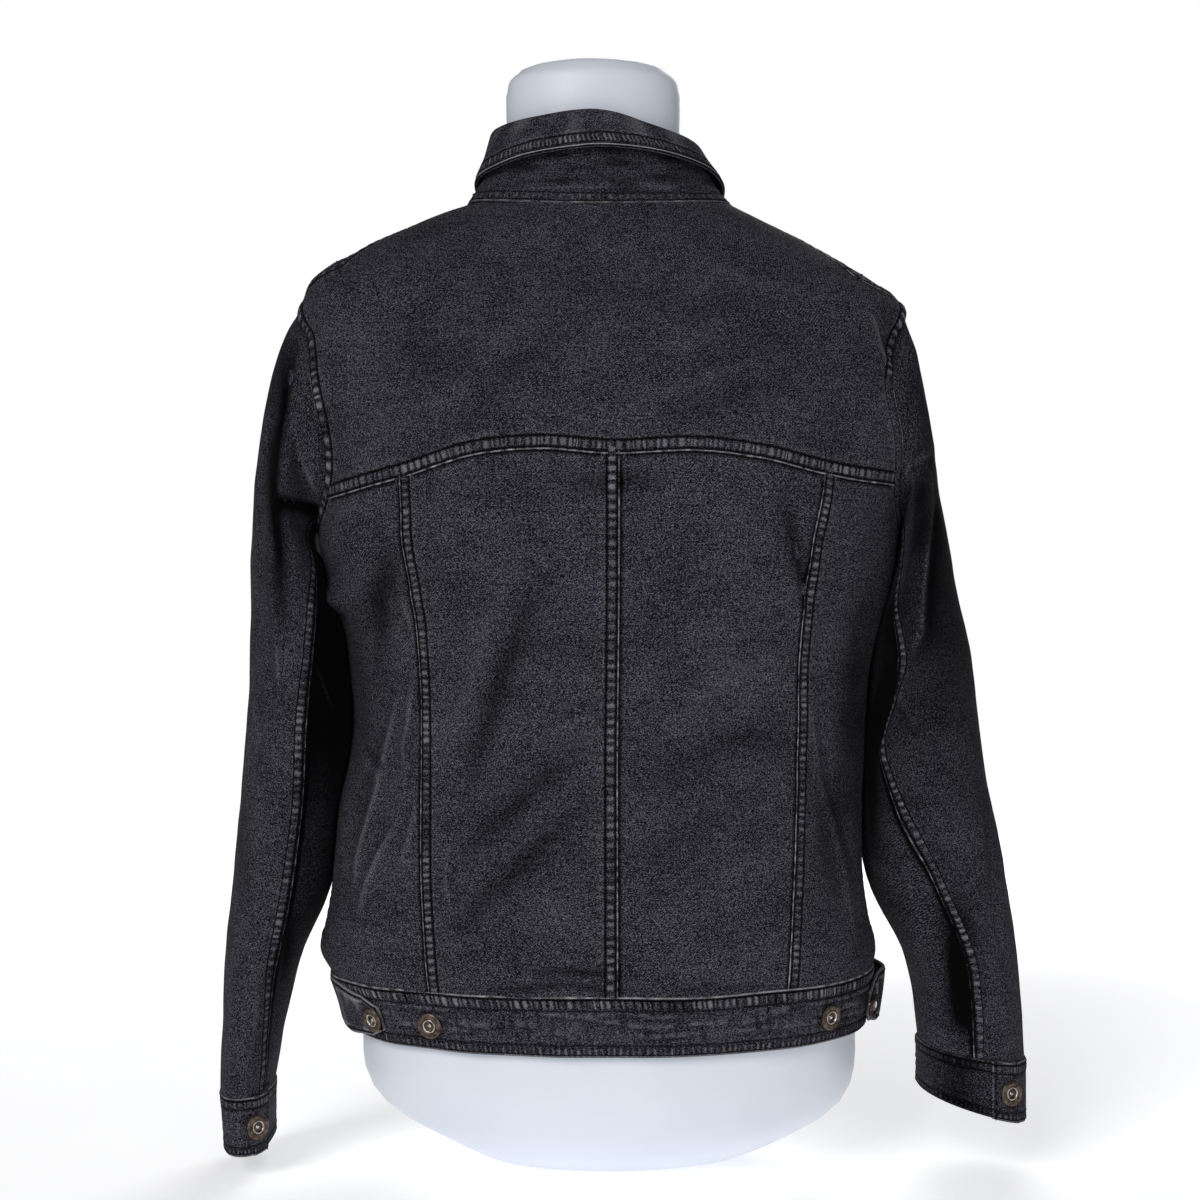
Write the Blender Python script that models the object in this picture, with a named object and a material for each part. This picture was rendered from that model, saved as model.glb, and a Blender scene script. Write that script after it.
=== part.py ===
"""Denim trucker jacket buttoned on a limbless dress form.

The wearer faces -Y, so the back of the jacket faces +Y and the wearer's left is +X. The origin is
the middle of the form's flat base. Tables are in millimetres and degrees, meshes in metres.

The torso cloth is one surface, body_point(height, angle), cut along its seams into panels. Each
sleeve is a surface through rings that start at the armhole. Every piece of cloth is a wall between
that outer face and the same face moved in, and its edges stop short of the seam by half a gap.
"""

import bmesh
import bpy
import numpy as np

MM = 0.001
GAP = 0.3  # between two pieces at a seam, and between layers
CLOTH = 1.5  # one layer of denim with its seam allowances
BAND = 2.4  # waistband, cuffs and tabs, which are two layers
BAND_PROUD = 0.8  # how far the waistband stands out from the torso cloth
SLOPE_STEP = 0.01  # step for reading a surface's slope, in millimetres or degrees
RISE_POWER = 2.2  # how a section's height turns from its middle's to its side's

WAIST_SEAM = 136.0  # heights at the centre back
YOKE_CENTRE = 497.5
NECK_SEAM = 662.0
UNDERARM = 445.0
SHOULDER_TIP = 590.0
ARMHOLE_HALF_DEPTH = 58.0
ARMHOLE_SQUARE = 0.8

LOW_ROWS = 9  # waist seam to underarm
ARM_ROWS = 12  # underarm to shoulder tip, on each side of an armhole
NECK_ROWS = 5  # shoulder tip to neck seam
YOKE_ARM_ROW = 3  # armhole row that the yoke seam runs into
CENTRE_COLUMNS = 4  # centre back to princess seam
SIDE_COLUMNS = 4  # princess seam to side seam or armhole
FRONT_COLUMNS = 6
FORM_COLUMNS = 32

PLACKET_WIDTH = 34.0
PLACKET_INSET = 2.0  # how far each placket's free edge stops short
PLACKET_REACH = 4.0  # how far the upper placket lies on its own front
BAND_ROWS = (96.0, 109.0, 123.0, WAIST_SEAM)
BAND_UNDER_END = (17.0, 2.0, -12.0)  # places across the front, to the end of the under length
BAND_OVER_END = (-30.0, -17.0, 0.0, 15.0)
SLEEVE_BACK_SEAM = 11  # ring steps from the sleeve's top to its back seam
SLEEVE_FRONT_SEAM = 16
RING_END = 0.02  # how near its end rings a sleeve's slope is read
CUFF_HEIGHT = 40.0
BAND_MIDDLE = 116.0  # height of the waistband's middle

BUTTON_STEPS = 10


def table(columns, *rows):
    """A table with named columns, as one array for each column."""
    return {name: np.array(column, float) for name, column in zip(columns.split(), zip(*rows))}


SECTION = "height left_z right_z front_z centre_x half_x back_y side_y front_y square"

BODY = table(
    SECTION,
    (96, 93, 93, 95, -3.5, 177, 114, -2, -120, 2.4),
    (116, 114, 114, 116, -2, 183, 116.5, -2, -122, 2.4),
    (136, 134, 134, 136, 1, 188, 118, -2, -123, 2.4),
    (150, 150, 150, 151, 4, 193, 121, -2, -126, 2.4),
    (170, 170, 170, 171, 4.5, 189, 120, -2, -125, 2.4),
    (190, 190, 190, 191, 4, 185.5, 118, -2, -123, 2.4),
    (220, 220, 220, 222, 3.5, 182, 114, -2, -119, 2.4),
    (255, 255, 255, 258, 2, 179, 108, -2, -115, 2.4),
    (293, 293, 293, 298, -1.5, 175.5, 105, -2, -115, 2.4),
    (346, 346, 346, 353, -4, 179.5, 107, -2, -124, 2.4),
    (381, 381, 381, 389, -6, 184, 111, -3, -132, 2.4),
    (411, 411, 411, 419, -6, 190, 114, -4, -135, 2.4),
    (441, 441, 441, 447, -4.5, 196.5, 117, -4, -133, 2.4),
    (483, 483, 483, 484, -4, 201, 118.5, -4, -124, 2.4),
    (540, 541, 541, 531, -1, 203, 114, -4, -107, 2.4),
    (570, 574, 574, 553, 0, 206, 106, -4, -99, 2.4),
    (590, 600, 600, 567, 2, 209, 98, -4, -94, 2.4),
    (596, 616, 608, 571, 2.5, 203, 95, -4, -92, 2.4),
    (604, 628, 618, 576, 3, 190, 91, -4, -89.5, 2.35),
    (616, 637, 629, 582, 3, 172, 85, -4, -87, 2.3),
    (632, 648.5, 643, 589, 3, 147, 78, -4, -84, 2.2),
    (648, 661, 658, 594, 3, 120, 70, -5, -81, 2.1),
    (662, 672, 671, 598, 3, 93, 62, -6, -78, 2.05),
)

FORM = table(
    SECTION,
    (0, 0, 0, 0, -4, 86, 16, -28, -76, 2.2),
    (3, 3, 3, 3, -5, 96, 27, -24, -85, 2.2),
    (11, 11, 11, 11, -7, 109, 44, -18, -94, 2.2),
    (25, 25, 25, 25, -8, 125, 66, -12, -103, 2.2),
    (38, 38, 38, 38, -7.5, 148, 84, -8, -109, 2.2),
    (53, 53, 53, 53, -6, 163, 96, -5, -113, 2.25),
    (72, 72, 72, 72, -4, 170.5, 104, -3, -114.5, 2.3),
    (96, 94, 94, 96, -3.5, 171.5, 107.5, -2, -114, 2.35),
    (136, 135, 135, 136, 0, 177, 110.5, -2, -115, 2.35),
    (165, 165, 165, 165, 1, 179, 111, -2, -116, 2.35),
    (200, 200, 200, 201, 1, 175, 108, -2, -113, 2.35),
    (250, 250, 250, 252, 0, 166, 98, -2, -105, 2.35),
    (293, 293, 293, 297, -1.5, 161, 92, -2, -101, 2.35),
    (346, 346, 346, 352, -3, 165, 96, -2, -111, 2.35),
    (395, 395, 395, 402, -4.5, 175, 104, -3, -123, 2.35),
    (441, 441, 441, 446, -4, 183, 108, -4, -122, 2.35),
    (500, 500, 500, 498, -3, 189, 108, -4, -108, 2.35),
    (540, 540, 540, 529, -1, 194, 105, -4, -97.5, 2.35),
    (570, 572, 572, 550, 0, 198, 98.5, -4, -91, 2.35),
    (588, 592, 592, 563, 2, 201, 92.5, -4, -87, 2.35),
    (596, 606, 602, 568.5, 2.5, 196, 89, -4, -84.5, 2.35),
    (604, 619, 612, 573.5, 3, 181, 85, -4, -82.5, 2.3),
    (616, 630.5, 623.5, 579.5, 3, 166, 80.5, -4, -80.5, 2.25),
    (632, 644.4, 639.2, 586.5, 3, 143.5, 74, -4, -78.5, 2.15),
    (648, 657.3, 654.3, 591.5, 3.5, 116.5, 66, -5, -76, 2.1),
    (662, 668, 667, 597, 4, 89, 56, -6, -72.5, 2.05),
    (673, 674, 673, 608, 5, 78, 46, -8, -64, 2.0),
    (688, 689, 688, 631, 6, 66.5, 38, -12, -57, 2.0),
    (707, 708, 707, 670, 7, 62, 34, -13, -53, 2.0),
    (732, 732, 732, 716, 7.5, 61, 33, -13, -52, 2.0),
    (752, 752, 752, 746, 7.5, 61, 32, -13, -52, 2.0),
    (764, 764, 764, 762, 7.5, 55, 27, -13, -48, 2.0),
    (770.5, 770.5, 770.5, 770, 7, 41, 17, -14, -42, 2.0),
    (773, 773, 773, 773, 6, 21, 3, -14, -29, 2.0),
    (773.6, 773.6, 773.6, 773.6, 6, 4, -11, -14, -17, 2.0),
)

# Height of the yoke seam across the back, less at the sides than in the middle.
YOKE_LINE = table(
    "x height",
    (-197, 466),
    (-147, 477.5),
    (-101, 492.5),
    (-56, 499),
    (-4, 497.5),
    (41, 501.5),
    (81, 499),
    (133, 484),
    (190, 466),
)

# Where the centre and princess seams run up the back; above the yoke seam they only lay out its grid.
BACK_SEAMS = table(
    "height centre_x left_x right_x",
    (136, -4, 111, -124.5),
    (200, -4, 116, -128),
    (293, -4, 117.5, -132),
    (346, -4.5, 118.5, -132),
    (400, -5, 122, -136),
    (430, -5, 127.5, -140),
    (484, -5, 132, -149),
    (540, -4, 135, -142),
    (590, -1, 128, -126),
    (616, 1, 106, -100),
    (662, 3, 55, -48),
)

SHOULDER_SEAM = table("height angle", (590, 90), (600, 78), (616, 80), (640, 88), (662, 97))

# A sleeve's rings below its armhole: the outermost and innermost point, the middle and half depth
# from front to back, and the angles of the two seams, all read down the arm.
SLEEVE = "out_x out_z in_x in_z mid_y half_y back_seam front_seam"

SLEEVE_LEFT = table(
    SLEEVE,
    (219.5, 586, 199, 447.5, -5, 60, 161, 238),
    (228, 560, 203, 441, -5, 64, 154, 241),
    (236, 524, 202, 429, -5, 69, 146, 246),
    (242, 480, 193, 411, -5, 73, 134, 252),
    (245, 428, 182, 386, -5, 74, 119, 256),
    (246, 374, 178.5, 350, -6, 73, 108, 258),
    (248.5, 318, 176, 306, -7, 71, 100, 260),
    (253, 261, 183, 256, -7, 68, 104, 260),
    (259, 205, 190.5, 203, -7, 64, 101, 260),
    (264, 150, 211, 150, -7, 59, 110, 260),
    (266, 105, 223, 105, -7, 56, 123, 260),
    (267, 56.5, 233, 56.5, -8, 52, 138, 260),
)

SLEEVE_RIGHT = table(
    SLEEVE,
    (-212, 582, -206, 447.5, -5, 59, 161, 238),
    (-219, 553, -210, 441, -5, 62, 156, 241),
    (-227, 514, -211, 429, -5, 66, 152, 246),
    (-233, 466, -204.5, 411, -5, 70, 150, 252),
    (-243, 416, -194, 386, -5, 72, 143, 256),
    (-254, 362, -187.5, 350, -6, 72, 124, 258),
    (-261, 308, -181, 300, -7, 70, 128, 260),
    (-270, 257, -180, 253, -8, 67, 112, 260),
    (-281, 206, -184, 204, -9, 63, 92, 258),
    (-288.5, 156, -207, 158, -10, 58, 88, 256),
    (-291.5, 118, -217, 124, -10, 54, 88, 256),
    (-294.5, 77, -221.5, 88, -10, 50, 90, 256),
)

SLEEVES = {"left": (1, SLEEVE_LEFT), "right": (-1, SLEEVE_RIGHT)}
SLEEVE_SQUARE = 2.3

# Largest folds of the sleeves: along the rings from start to end at an angle that may drift,
# pushed in by depth (negative stands proud), with a half width in degrees.
FOLD = "start end angle_start angle_end depth half_width"

FOLDS_LEFT = table(
    FOLD,
    (1.6, 6.4, 62, 56, 7, 13),
    (1.2, 3.4, 100, 84, -4, 14),
    (5.5, 9.5, 118, 128, 4, 14),
)

FOLDS_RIGHT = table(
    FOLD,
    (3.4, 6.6, 132, 84, -5, 14),
    (7.6, 11.6, 104, 106, 8, 13),
    (1.8, 5.0, 62, 70, 4, 14),
)

# Largest folds of the torso cloth beside the waist: from low to high along the side of the back.
SIDE_FOLDS = table(
    "low_x low_z high_x high_z depth half_width",
    (164, 196, 140, 330, 4, 11),
    (170, 170, 150, 262, -3, 9),
    (-168, 165, -142, 306, 4, 10),
)

# The collar's path from the neck seam up to the roll line and down the fall, round the neck.
COLLAR = table(
    "angle stand lean fall flare",
    (0, 64, 17, 24, 11),
    (45, 58, 21, 27, 13),
    (65, 52.5, 22, 31, 14),
    (90, 46, 23, 33, 15),
    (135, 41, 14, 35, 18),
    (170, 31, 6, 50, 30),
)
COLLAR_ROLL = 1.2  # radius inside the turn
COLLAR_SHIFT = 3.0  # how far the roll sits to the wearer's left of the neck seam
COLLAR_END = 170.0
COLLAR_COLUMNS = 22

# Cuffs: the angles of the lapped end and its button, how much deeper the outer side hangs than the
# inner, and how much narrower the lower edge is.
CUFFS = {"left": (156.0, 124.0, 0.0, 0.12), "right": (82.0, 64.0, 0.15, 0.0)}
CUFF_PROUD = 1.0
CUFF_LAP = 30.0  # degrees of cuff that lie on its other end
CUFF_RAMP = 12.0  # degrees over which the lapped end rises
CUFF_COLUMNS = 19
CUFF_LEVELS = (0.0, 0.5, 1.0)

# Tabs: distance along the waistband from its side seam, towards the back, of the sewn and the
# buttoned end, and how far the middle of the tab stands off the band.
TABS = {"left": (-6.0, 92.0, 1.0), "right": (-30.0, 44.0, 7.0)}
TAB_HEIGHT = 30.0
TAB_POINT = 7.0
TAB_STEPS = 8
TAB_LOOP = 0.75  # part of its length over which a tab stands off
TAB_TIP = 0.85  # where its pointed end starts
TAB_LEVELS = (-1.0, -0.33, 0.33, 1.0)

FRONT_BUTTONS = (116.0, 210.0, 304.0, 398.0, 492.0, 598.0)
WAIST_BUTTONS = {
    "waist_button_left_free": ("free", 113.0),
    "waist_button_left_tab": ("left", 150.0),
    "waist_button_right_free": ("free", -148.0),
    "waist_button_right_tab": ("right", -177.0),
}

BUTTON_PROFILE = (  # radius and height above the cloth
    (0.0, 0.3),
    (4.0, 0.3),
    (4.0, 1.9),
    (8.0, 1.9),
    (8.5, 3.0),
    (7.6, 4.6),
    (5.6, 4.7),
    (4.6, 3.4),
    (2.2, 3.2),
    (1.6, 4.4),
    (0.0, 4.6),
)


def smooth(at, knots, values):
    """A cubic curve through values at knots, read at each place."""
    at = np.asarray(at, float)
    slopes = np.gradient(values, knots, axis=0)
    low = np.clip(np.searchsorted(knots, at, side="right") - 1, 0, len(knots) - 2)
    span = knots[low + 1] - knots[low]
    part = (at - knots[low]) / span
    extra = (1,) * (values.ndim - 1)
    part, span = part.reshape(part.shape + extra), span.reshape(span.shape + extra)
    return (
        values[low] * (1 + 2 * part) * (1 - part) ** 2
        + values[low + 1] * part**2 * (3 - 2 * part)
        + slopes[low] * span * part * (1 - part) ** 2
        + slopes[low + 1] * span * part**2 * (part - 1)
    )


def read(rows, height):
    return {name: smooth(height, rows["height"], rows[name]) for name in rows}


def section_point(rows, height, angle):
    """A point of a torso section; angle 0 is the centre back and 90 the wearer's left side."""
    height, angle = np.broadcast_arrays(np.asarray(height, float), np.radians(angle))
    row = read(rows, height)
    sine, cosine = np.sin(angle), np.cos(angle)
    depth = np.where(cosine > 0, row["back_y"] - row["side_y"], row["side_y"] - row["front_y"])
    power = row["square"]
    radius = (np.abs(sine / row["half_x"]) ** power + np.abs(cosine / depth) ** power) ** (-1 / power)
    across = radius * sine
    middle = np.where(cosine > 0, height, row["front_z"])
    side = np.where(sine > 0, row["left_z"], row["right_z"])
    rise = (np.abs(across) / row["half_x"]) ** RISE_POWER
    z = middle + (side - middle) * rise
    return np.stack([row["centre_x"] + across, row["side_y"] + radius * cosine, z], axis=-1)


def fold_depth(points):
    """How far the side folds push the torso cloth in at each point of the back."""
    depth = np.zeros(points.shape[:-1])
    for low_x, low_z, high_x, high_z, deep, half in zip(*SIDE_FOLDS.values()):
        along_x, along_z = high_x - low_x, high_z - low_z
        length = np.hypot(along_x, along_z)
        x, z = points[..., 0] - low_x, points[..., 2] - low_z
        along = np.clip((x * along_x + z * along_z) / length**2, 0, 1)
        aside = (x * along_z - z * along_x) / length
        depth += deep * np.sin(np.pi * along) * np.exp(-((aside / half) ** 2))
    return depth * (points[..., 1] > 0)


def body_smooth(height, angle):
    return section_point(BODY, height, angle)


def slope_normal(surface, first, second):
    """Outward unit normal of a surface of two parameters."""
    step = SLOPE_STEP
    along = surface(first + step, second) - surface(first - step, second)
    round_it = surface(first, second + step) - surface(first, second - step)
    normal = np.cross(along, round_it)
    return normal / np.linalg.norm(normal, axis=-1, keepdims=True)


def body_point(height, angle, lift=0.0):
    """The torso cloth's outer face, moved out by lift."""
    height = np.asarray(height, float)
    angle = np.asarray(angle, float)
    points = body_smooth(height, angle)
    normal = slope_normal(body_smooth, height, angle)
    return points + normal * (lift - fold_depth(points))[..., None]


def angle_at_x(height, x, front=False):
    """The angle at which a section passes a place across the back or the front."""
    row = read(BODY, height)
    across = x - row["centre_x"]
    depth = row["front_y"] - row["side_y"] if front else row["back_y"] - row["side_y"]
    part = np.clip(1 - np.abs(across / row["half_x"]) ** row["square"], 0, 1)
    angle = np.degrees(np.arctan2(across, depth * part ** (1 / row["square"])))
    return angle


def armhole(side, turn):
    """Height and section angle on an armhole; turn 0 is its top, 90 its back edge."""
    turn = np.radians(turn)
    height = UNDERARM + (SHOULDER_TIP - UNDERARM) * (1 + np.cos(turn)) / 2
    row = read(BODY, height)
    reach = ARMHOLE_HALF_DEPTH * np.sign(np.sin(turn)) * np.abs(np.sin(turn)) ** ARMHOLE_SQUARE
    depth = np.where(reach > 0, row["back_y"] - row["side_y"], row["side_y"] - row["front_y"])
    part = (1 - np.abs(reach / depth) ** row["square"]) ** (1 / row["square"])
    angle = np.degrees(np.arctan2(row["half_x"] * part, reach))
    return height, side * angle


def sleeve_rings(side_name, turns):
    """Points of each ring of a sleeve at the same turns: [ring, turn, xyz]."""
    side, rows = SLEEVES[side_name]
    first = body_smooth(*armhole(side, turns[0]))
    rings = [first]
    for i, (out_x, out_z, in_x, in_z, mid_y, half_y) in enumerate(
        zip(*(rows[name] for name in "out_x out_z in_x in_z mid_y half_y".split()))
    ):
        turn = np.radians(turns[i + 1])
        power = 2 / SLEEVE_SQUARE
        top = np.sign(np.cos(turn)) * np.abs(np.cos(turn)) ** power
        back = np.sign(np.sin(turn)) * np.abs(np.sin(turn)) ** power
        x = (out_x + in_x) / 2 + top * (out_x - in_x) / 2
        z = (out_z + in_z) / 2 + top * (out_z - in_z) / 2
        rings.append(np.stack([x, mid_y + back * half_y, z], axis=-1))
    return np.array(rings)


def sleeve_turns(side_name, steps):
    """The turn of each grid line on each ring, so that both seams lie on grid lines."""
    rows = SLEEVES[side_name][1]
    even = steps * 180.0 / ARM_ROWS
    turns = [even]
    for back, front in zip(rows["back_seam"], rows["front_seam"]):
        turns.append(
            np.interp(steps, (0, SLEEVE_BACK_SEAM, SLEEVE_FRONT_SEAM, 2 * ARM_ROWS), (0, back, front, 360))
        )
    return np.array(turns)


def sleeve_surface(side_name, folds):
    """The sleeve's outer face as a function of its ring number and grid step."""
    knots = np.arange(len(SLEEVES[side_name][1]["out_x"]) + 1.0)

    def surface(ring, step):
        ring, step = np.broadcast_arrays(np.asarray(ring, float), np.asarray(step, float))
        flat_step = np.mod(step.ravel(), 2 * ARM_ROWS)
        turns = sleeve_turns(side_name, flat_step)
        rings = sleeve_rings(side_name, turns)
        points = np.empty((flat_step.size, 3))
        for i, place in enumerate(ring.ravel()):
            points[i] = smooth(place, knots, rings[:, i])
        turn = np.array([smooth(p, knots, turns[:, i]) for i, p in enumerate(ring.ravel())])
        centre = np.array([smooth(p, knots, ring_middle) for p in ring.ravel()])
        inward = centre - points
        inward /= np.linalg.norm(inward, axis=-1, keepdims=True)
        depth = np.zeros(len(points))
        for start, end, first, last, deep, half in zip(*folds.values()):
            part = (ring.ravel() - start) / (end - start)
            held = np.where((part > 0) & (part < 1), np.sin(np.pi * np.clip(part, 0, 1)), 0)
            aside = turn - (first + (last - first) * part)
            depth += deep * held * np.exp(-((aside / half) ** 2))
        return (points + inward * depth[:, None]).reshape(ring.shape + (3,))

    half = np.arange(0, 2 * ARM_ROWS, 1.0)
    ring_middle = sleeve_rings(side_name, sleeve_turns(side_name, half)).mean(axis=1)
    return surface


def shortened(points, sides, cut=GAP / 2):
    """The grid with its named borders moved in, by half a seam gap if no more is said."""
    points = points.copy()
    borders = {"low": (0, 1, 0), "high": (-1, -2, 0), "first": (0, 1, 1), "last": (-1, -2, 1)}
    for name in sides.split():
        border, inner, axis = borders[name]
        lines = points if axis == 0 else points.swapaxes(0, 1)
        step = lines[inner] - lines[border]
        lines[border] += step / np.linalg.norm(step, axis=-1, keepdims=True) * cut
    return points


def quads(lines):
    """Faces of a grid of point numbers."""
    return [
        (lines[i, j], lines[i, j + 1], lines[i + 1, j + 1], lines[i + 1, j])
        for i in range(lines.shape[0] - 1)
        for j in range(lines.shape[1] - 1)
    ]


def add_solid(name, points, faces, material):
    """One closed body from points in millimetres."""
    mesh = bpy.data.meshes.new(name)
    mesh.from_pydata((np.asarray(points) * MM).tolist(), [], [[int(i) for i in f] for f in faces])
    body = bmesh.new()
    body.from_mesh(mesh)
    bmesh.ops.recalc_face_normals(body, faces=body.faces)
    body.to_mesh(mesh)
    body.free()
    mesh.materials.append(material)
    item = bpy.data.objects.new(name, mesh)
    bpy.context.scene.collection.objects.link(item)
    return item


def add_wall(name, outer, inner, material, ring=False):
    """Cloth between two grids of points; on a ring the last column joins the first."""
    rows, columns = outer.shape[:2]
    front = np.arange(rows * columns).reshape(rows, columns)
    if ring:
        front = np.column_stack([front, front[:, :1]])
    back = front + rows * columns
    faces = quads(front) + quads(back)
    borders = [0, -1]
    faces += [
        (front[r, j], front[r, j + 1], back[r, j + 1], back[r, j])
        for r in borders
        for j in range(front.shape[1] - 1)
    ]
    if not ring:
        faces += [
            (front[i, c], front[i + 1, c], back[i + 1, c], back[i, c])
            for c in borders
            for i in range(rows - 1)
        ]
    points = np.concatenate([outer.reshape(-1, 3), inner.reshape(-1, 3)])
    return add_solid(name, points, faces, material)


def body_wall(name, height, angle, material, sides, lift=0.0, thick=CLOTH):
    """A torso panel over a grid of heights and angles."""
    outer = shortened(body_point(height, angle, lift), sides)
    inner = shortened(body_point(height, angle, lift - thick), sides)
    return add_wall(name, outer, inner, material)


def row_heights():
    """Heights of the torso's rows at its side column."""
    low = np.linspace(WAIST_SEAM, UNDERARM, LOW_ROWS + 1)
    turn = np.linspace(180, 0, ARM_ROWS + 1)[1:]
    arm = armhole(1, turn)[0]
    neck = np.linspace(SHOULDER_TIP, NECK_SEAM, NECK_ROWS + 1)[1:]
    return np.concatenate([low, arm, neck])


def edge_angles(side, back):
    """Angle of the side seam, the armhole's edge and the shoulder seam at each row."""
    heights = row_heights()
    turn = np.linspace(180, 0, ARM_ROWS + 1)
    arm = armhole(side, turn if back else 360 - turn)[1]
    shoulder = smooth(heights[LOW_ROWS + ARM_ROWS + 1 :], SHOULDER_SEAM["height"], SHOULDER_SEAM["angle"])
    return np.concatenate([np.full(LOW_ROWS, side * 90.0), arm, side * shoulder])


def back_grid(side):
    """Heights and angles of one half of the back, rows by columns from centre to side."""
    side_heights = row_heights()
    yoke_row = LOW_ROWS + YOKE_ARM_ROW
    yoke_side = side_heights[yoke_row]
    centre = np.where(
        side_heights < yoke_side,
        WAIST_SEAM + (side_heights - WAIST_SEAM) * (YOKE_CENTRE - WAIST_SEAM) / (yoke_side - WAIST_SEAM),
        YOKE_CENTRE
        + (side_heights - yoke_side) * (SHOULDER_TIP - YOKE_CENTRE) / (SHOULDER_TIP - yoke_side),
    )
    centre = np.where(side_heights > SHOULDER_TIP, side_heights, centre)
    part = np.concatenate(
        [np.arange(CENTRE_COLUMNS) / CENTRE_COLUMNS, 1 + np.arange(SIDE_COLUMNS + 1) / SIDE_COLUMNS]
    )
    name = "left_x" if side > 0 else "right_x"
    edge = edge_angles(side, back=True)

    def angles(height, rows):
        centre, princess = (
            angle_at_x(height, smooth(height, BACK_SEAMS["height"], BACK_SEAMS[seam]))
            for seam in ("centre_x", name)
        )
        inner = centre + (princess - centre) * part
        return np.where(part < 1, inner, princess + (edge[rows] - princess) * (part - 1))

    at_yoke = angles(np.full(len(part), YOKE_CENTRE), yoke_row)
    line_x = body_smooth(np.full(len(part), YOKE_CENTRE), at_yoke)[:, 0]
    line = smooth(side * line_x, *yoke_half(side))
    weight = (YOKE_CENTRE - line) / (YOKE_CENTRE - yoke_side)
    weight[0], weight[-1] = 0.0, 1.0
    height = centre[:, None] + (side_heights - centre)[:, None] * weight
    rows = np.arange(len(side_heights))
    angle = np.array([angles(height[i], i) for i in rows])
    angle[:, -1] = edge
    return height, angle


def yoke_half(side):
    """The yoke seam's height against the distance out from the middle, on one side."""
    x = side * YOKE_LINE["x"]
    order = np.argsort(x)
    return x[order], YOKE_LINE["height"][order]


def add_back(denim):
    """Two centre and two side back panels under a one-piece yoke."""
    yoke_row = LOW_ROWS + YOKE_ARM_ROW
    for side, label in ((1, "left"), (-1, "right")):
        height, angle = back_grid(side)
        low = slice(0, yoke_row + 1)
        centre = slice(0, CENTRE_COLUMNS + 1)
        outer = slice(CENTRE_COLUMNS, None)
        sides = "low high first last"
        body_wall(f"back_centre_{label}", height[low, centre], angle[low, centre], denim, sides)
        body_wall(f"back_side_{label}", height[low, outer], angle[low, outer], denim, sides)
    left_height, left_angle = back_grid(1)
    right_height, right_angle = back_grid(-1)
    height = np.column_stack([left_height[:, ::-1], right_height[:, 1:]])[yoke_row:]
    angle = np.column_stack([left_angle[:, ::-1], right_angle[:, 1:]])[yoke_row:]
    body_wall("back_yoke", height, angle, denim, "low high first last")


def front_grid(side):
    """Heights and angles of a front, rows by columns from the side to its placket seam."""
    heights = row_heights()
    part = np.arange(FRONT_COLUMNS + 1) / FRONT_COLUMNS
    edge = edge_angles(side, back=False)
    close = angle_at_x(heights, side * PLACKET_WIDTH / 2, front=True)
    return np.repeat(heights[:, None], len(part), axis=1), edge[:, None] + (close - edge)[:, None] * part


def add_fronts(denim):
    """A front on each side and the two plackets, the right one lapped over the left."""
    for side, label in ((1, "left"), (-1, "right")):
        body_wall(f"front_{label}", *front_grid(side), denim, "low high first last")
    heights = row_heights()
    half = PLACKET_WIDTH / 2
    strips = {
        "placket_left": (np.linspace(half - GAP, PLACKET_INSET - half, 4), 0.0),
        "placket_right": (np.linspace(half - PLACKET_INSET, -half - PLACKET_REACH, 4), CLOTH + 2 * GAP),
    }
    for name, (places, lift) in strips.items():
        height = np.repeat(heights[:, None], len(places), axis=1)
        angle = np.array([angle_at_x(heights, x, front=True) % 360 for x in places]).T
        body_wall(name, height, angle, denim, "low high", lift)


def add_waistband(denim):
    """The hem band in three lengths, joined at the side seams and lapped at the front."""
    back = np.concatenate([back_grid(1)[1][0, ::-1], back_grid(-1)[1][0, 1:]])
    left, right = (front_grid(side)[1][0, :-1] for side in (1, -1))
    left_end = angle_at_x(WAIST_SEAM, np.array(BAND_UNDER_END), front=True)
    right_end = angle_at_x(WAIST_SEAM, np.array(BAND_OVER_END), front=True)
    over = BAND + 2 * GAP
    lengths = {
        "waistband_back": (back, np.zeros(len(back))),
        "waistband_front_left": (np.concatenate([left, left_end]) % 360, np.zeros(len(left) + len(left_end))),
        "waistband_front_right": (
            np.concatenate([right, right_end]) % 360,
            np.concatenate([np.zeros(len(right)), [0.5 * over, over, over, over]]),
        ),
    }
    for name, (angles, ride) in lengths.items():
        height, angle = np.meshgrid(BAND_ROWS, angles, indexing="ij")
        lift = np.broadcast_to(BAND_PROUD + ride, height.shape)
        outer = shortened(body_point(height, angle, lift), "high first last")
        inner = shortened(body_point(height, angle, lift - BAND), "high first last")
        add_wall(name, outer, inner, denim)


def collar_path(angle):
    """The undercollar's path, out and up from the neck seam: [point, (out, up)]."""
    stand, lean, fall, flare = (
        smooth(abs(angle), COLLAR["angle"], COLLAR[name]) for name in "stand lean fall flare".split()
    )
    turn = COLLAR_ROLL
    return np.array(
        [
            (0.0, GAP),
            (-0.45 * lean, 0.34 * stand),
            (-0.76 * lean, 0.7 * stand),
            (-lean, stand - turn),
            (-lean + turn, stand),
            (-lean + 2 * turn, stand - turn),
            (-lean + 0.5 * flare + turn, stand - 0.55 * fall),
            (-lean + flare + turn, stand - fall),
        ]
    )


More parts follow.
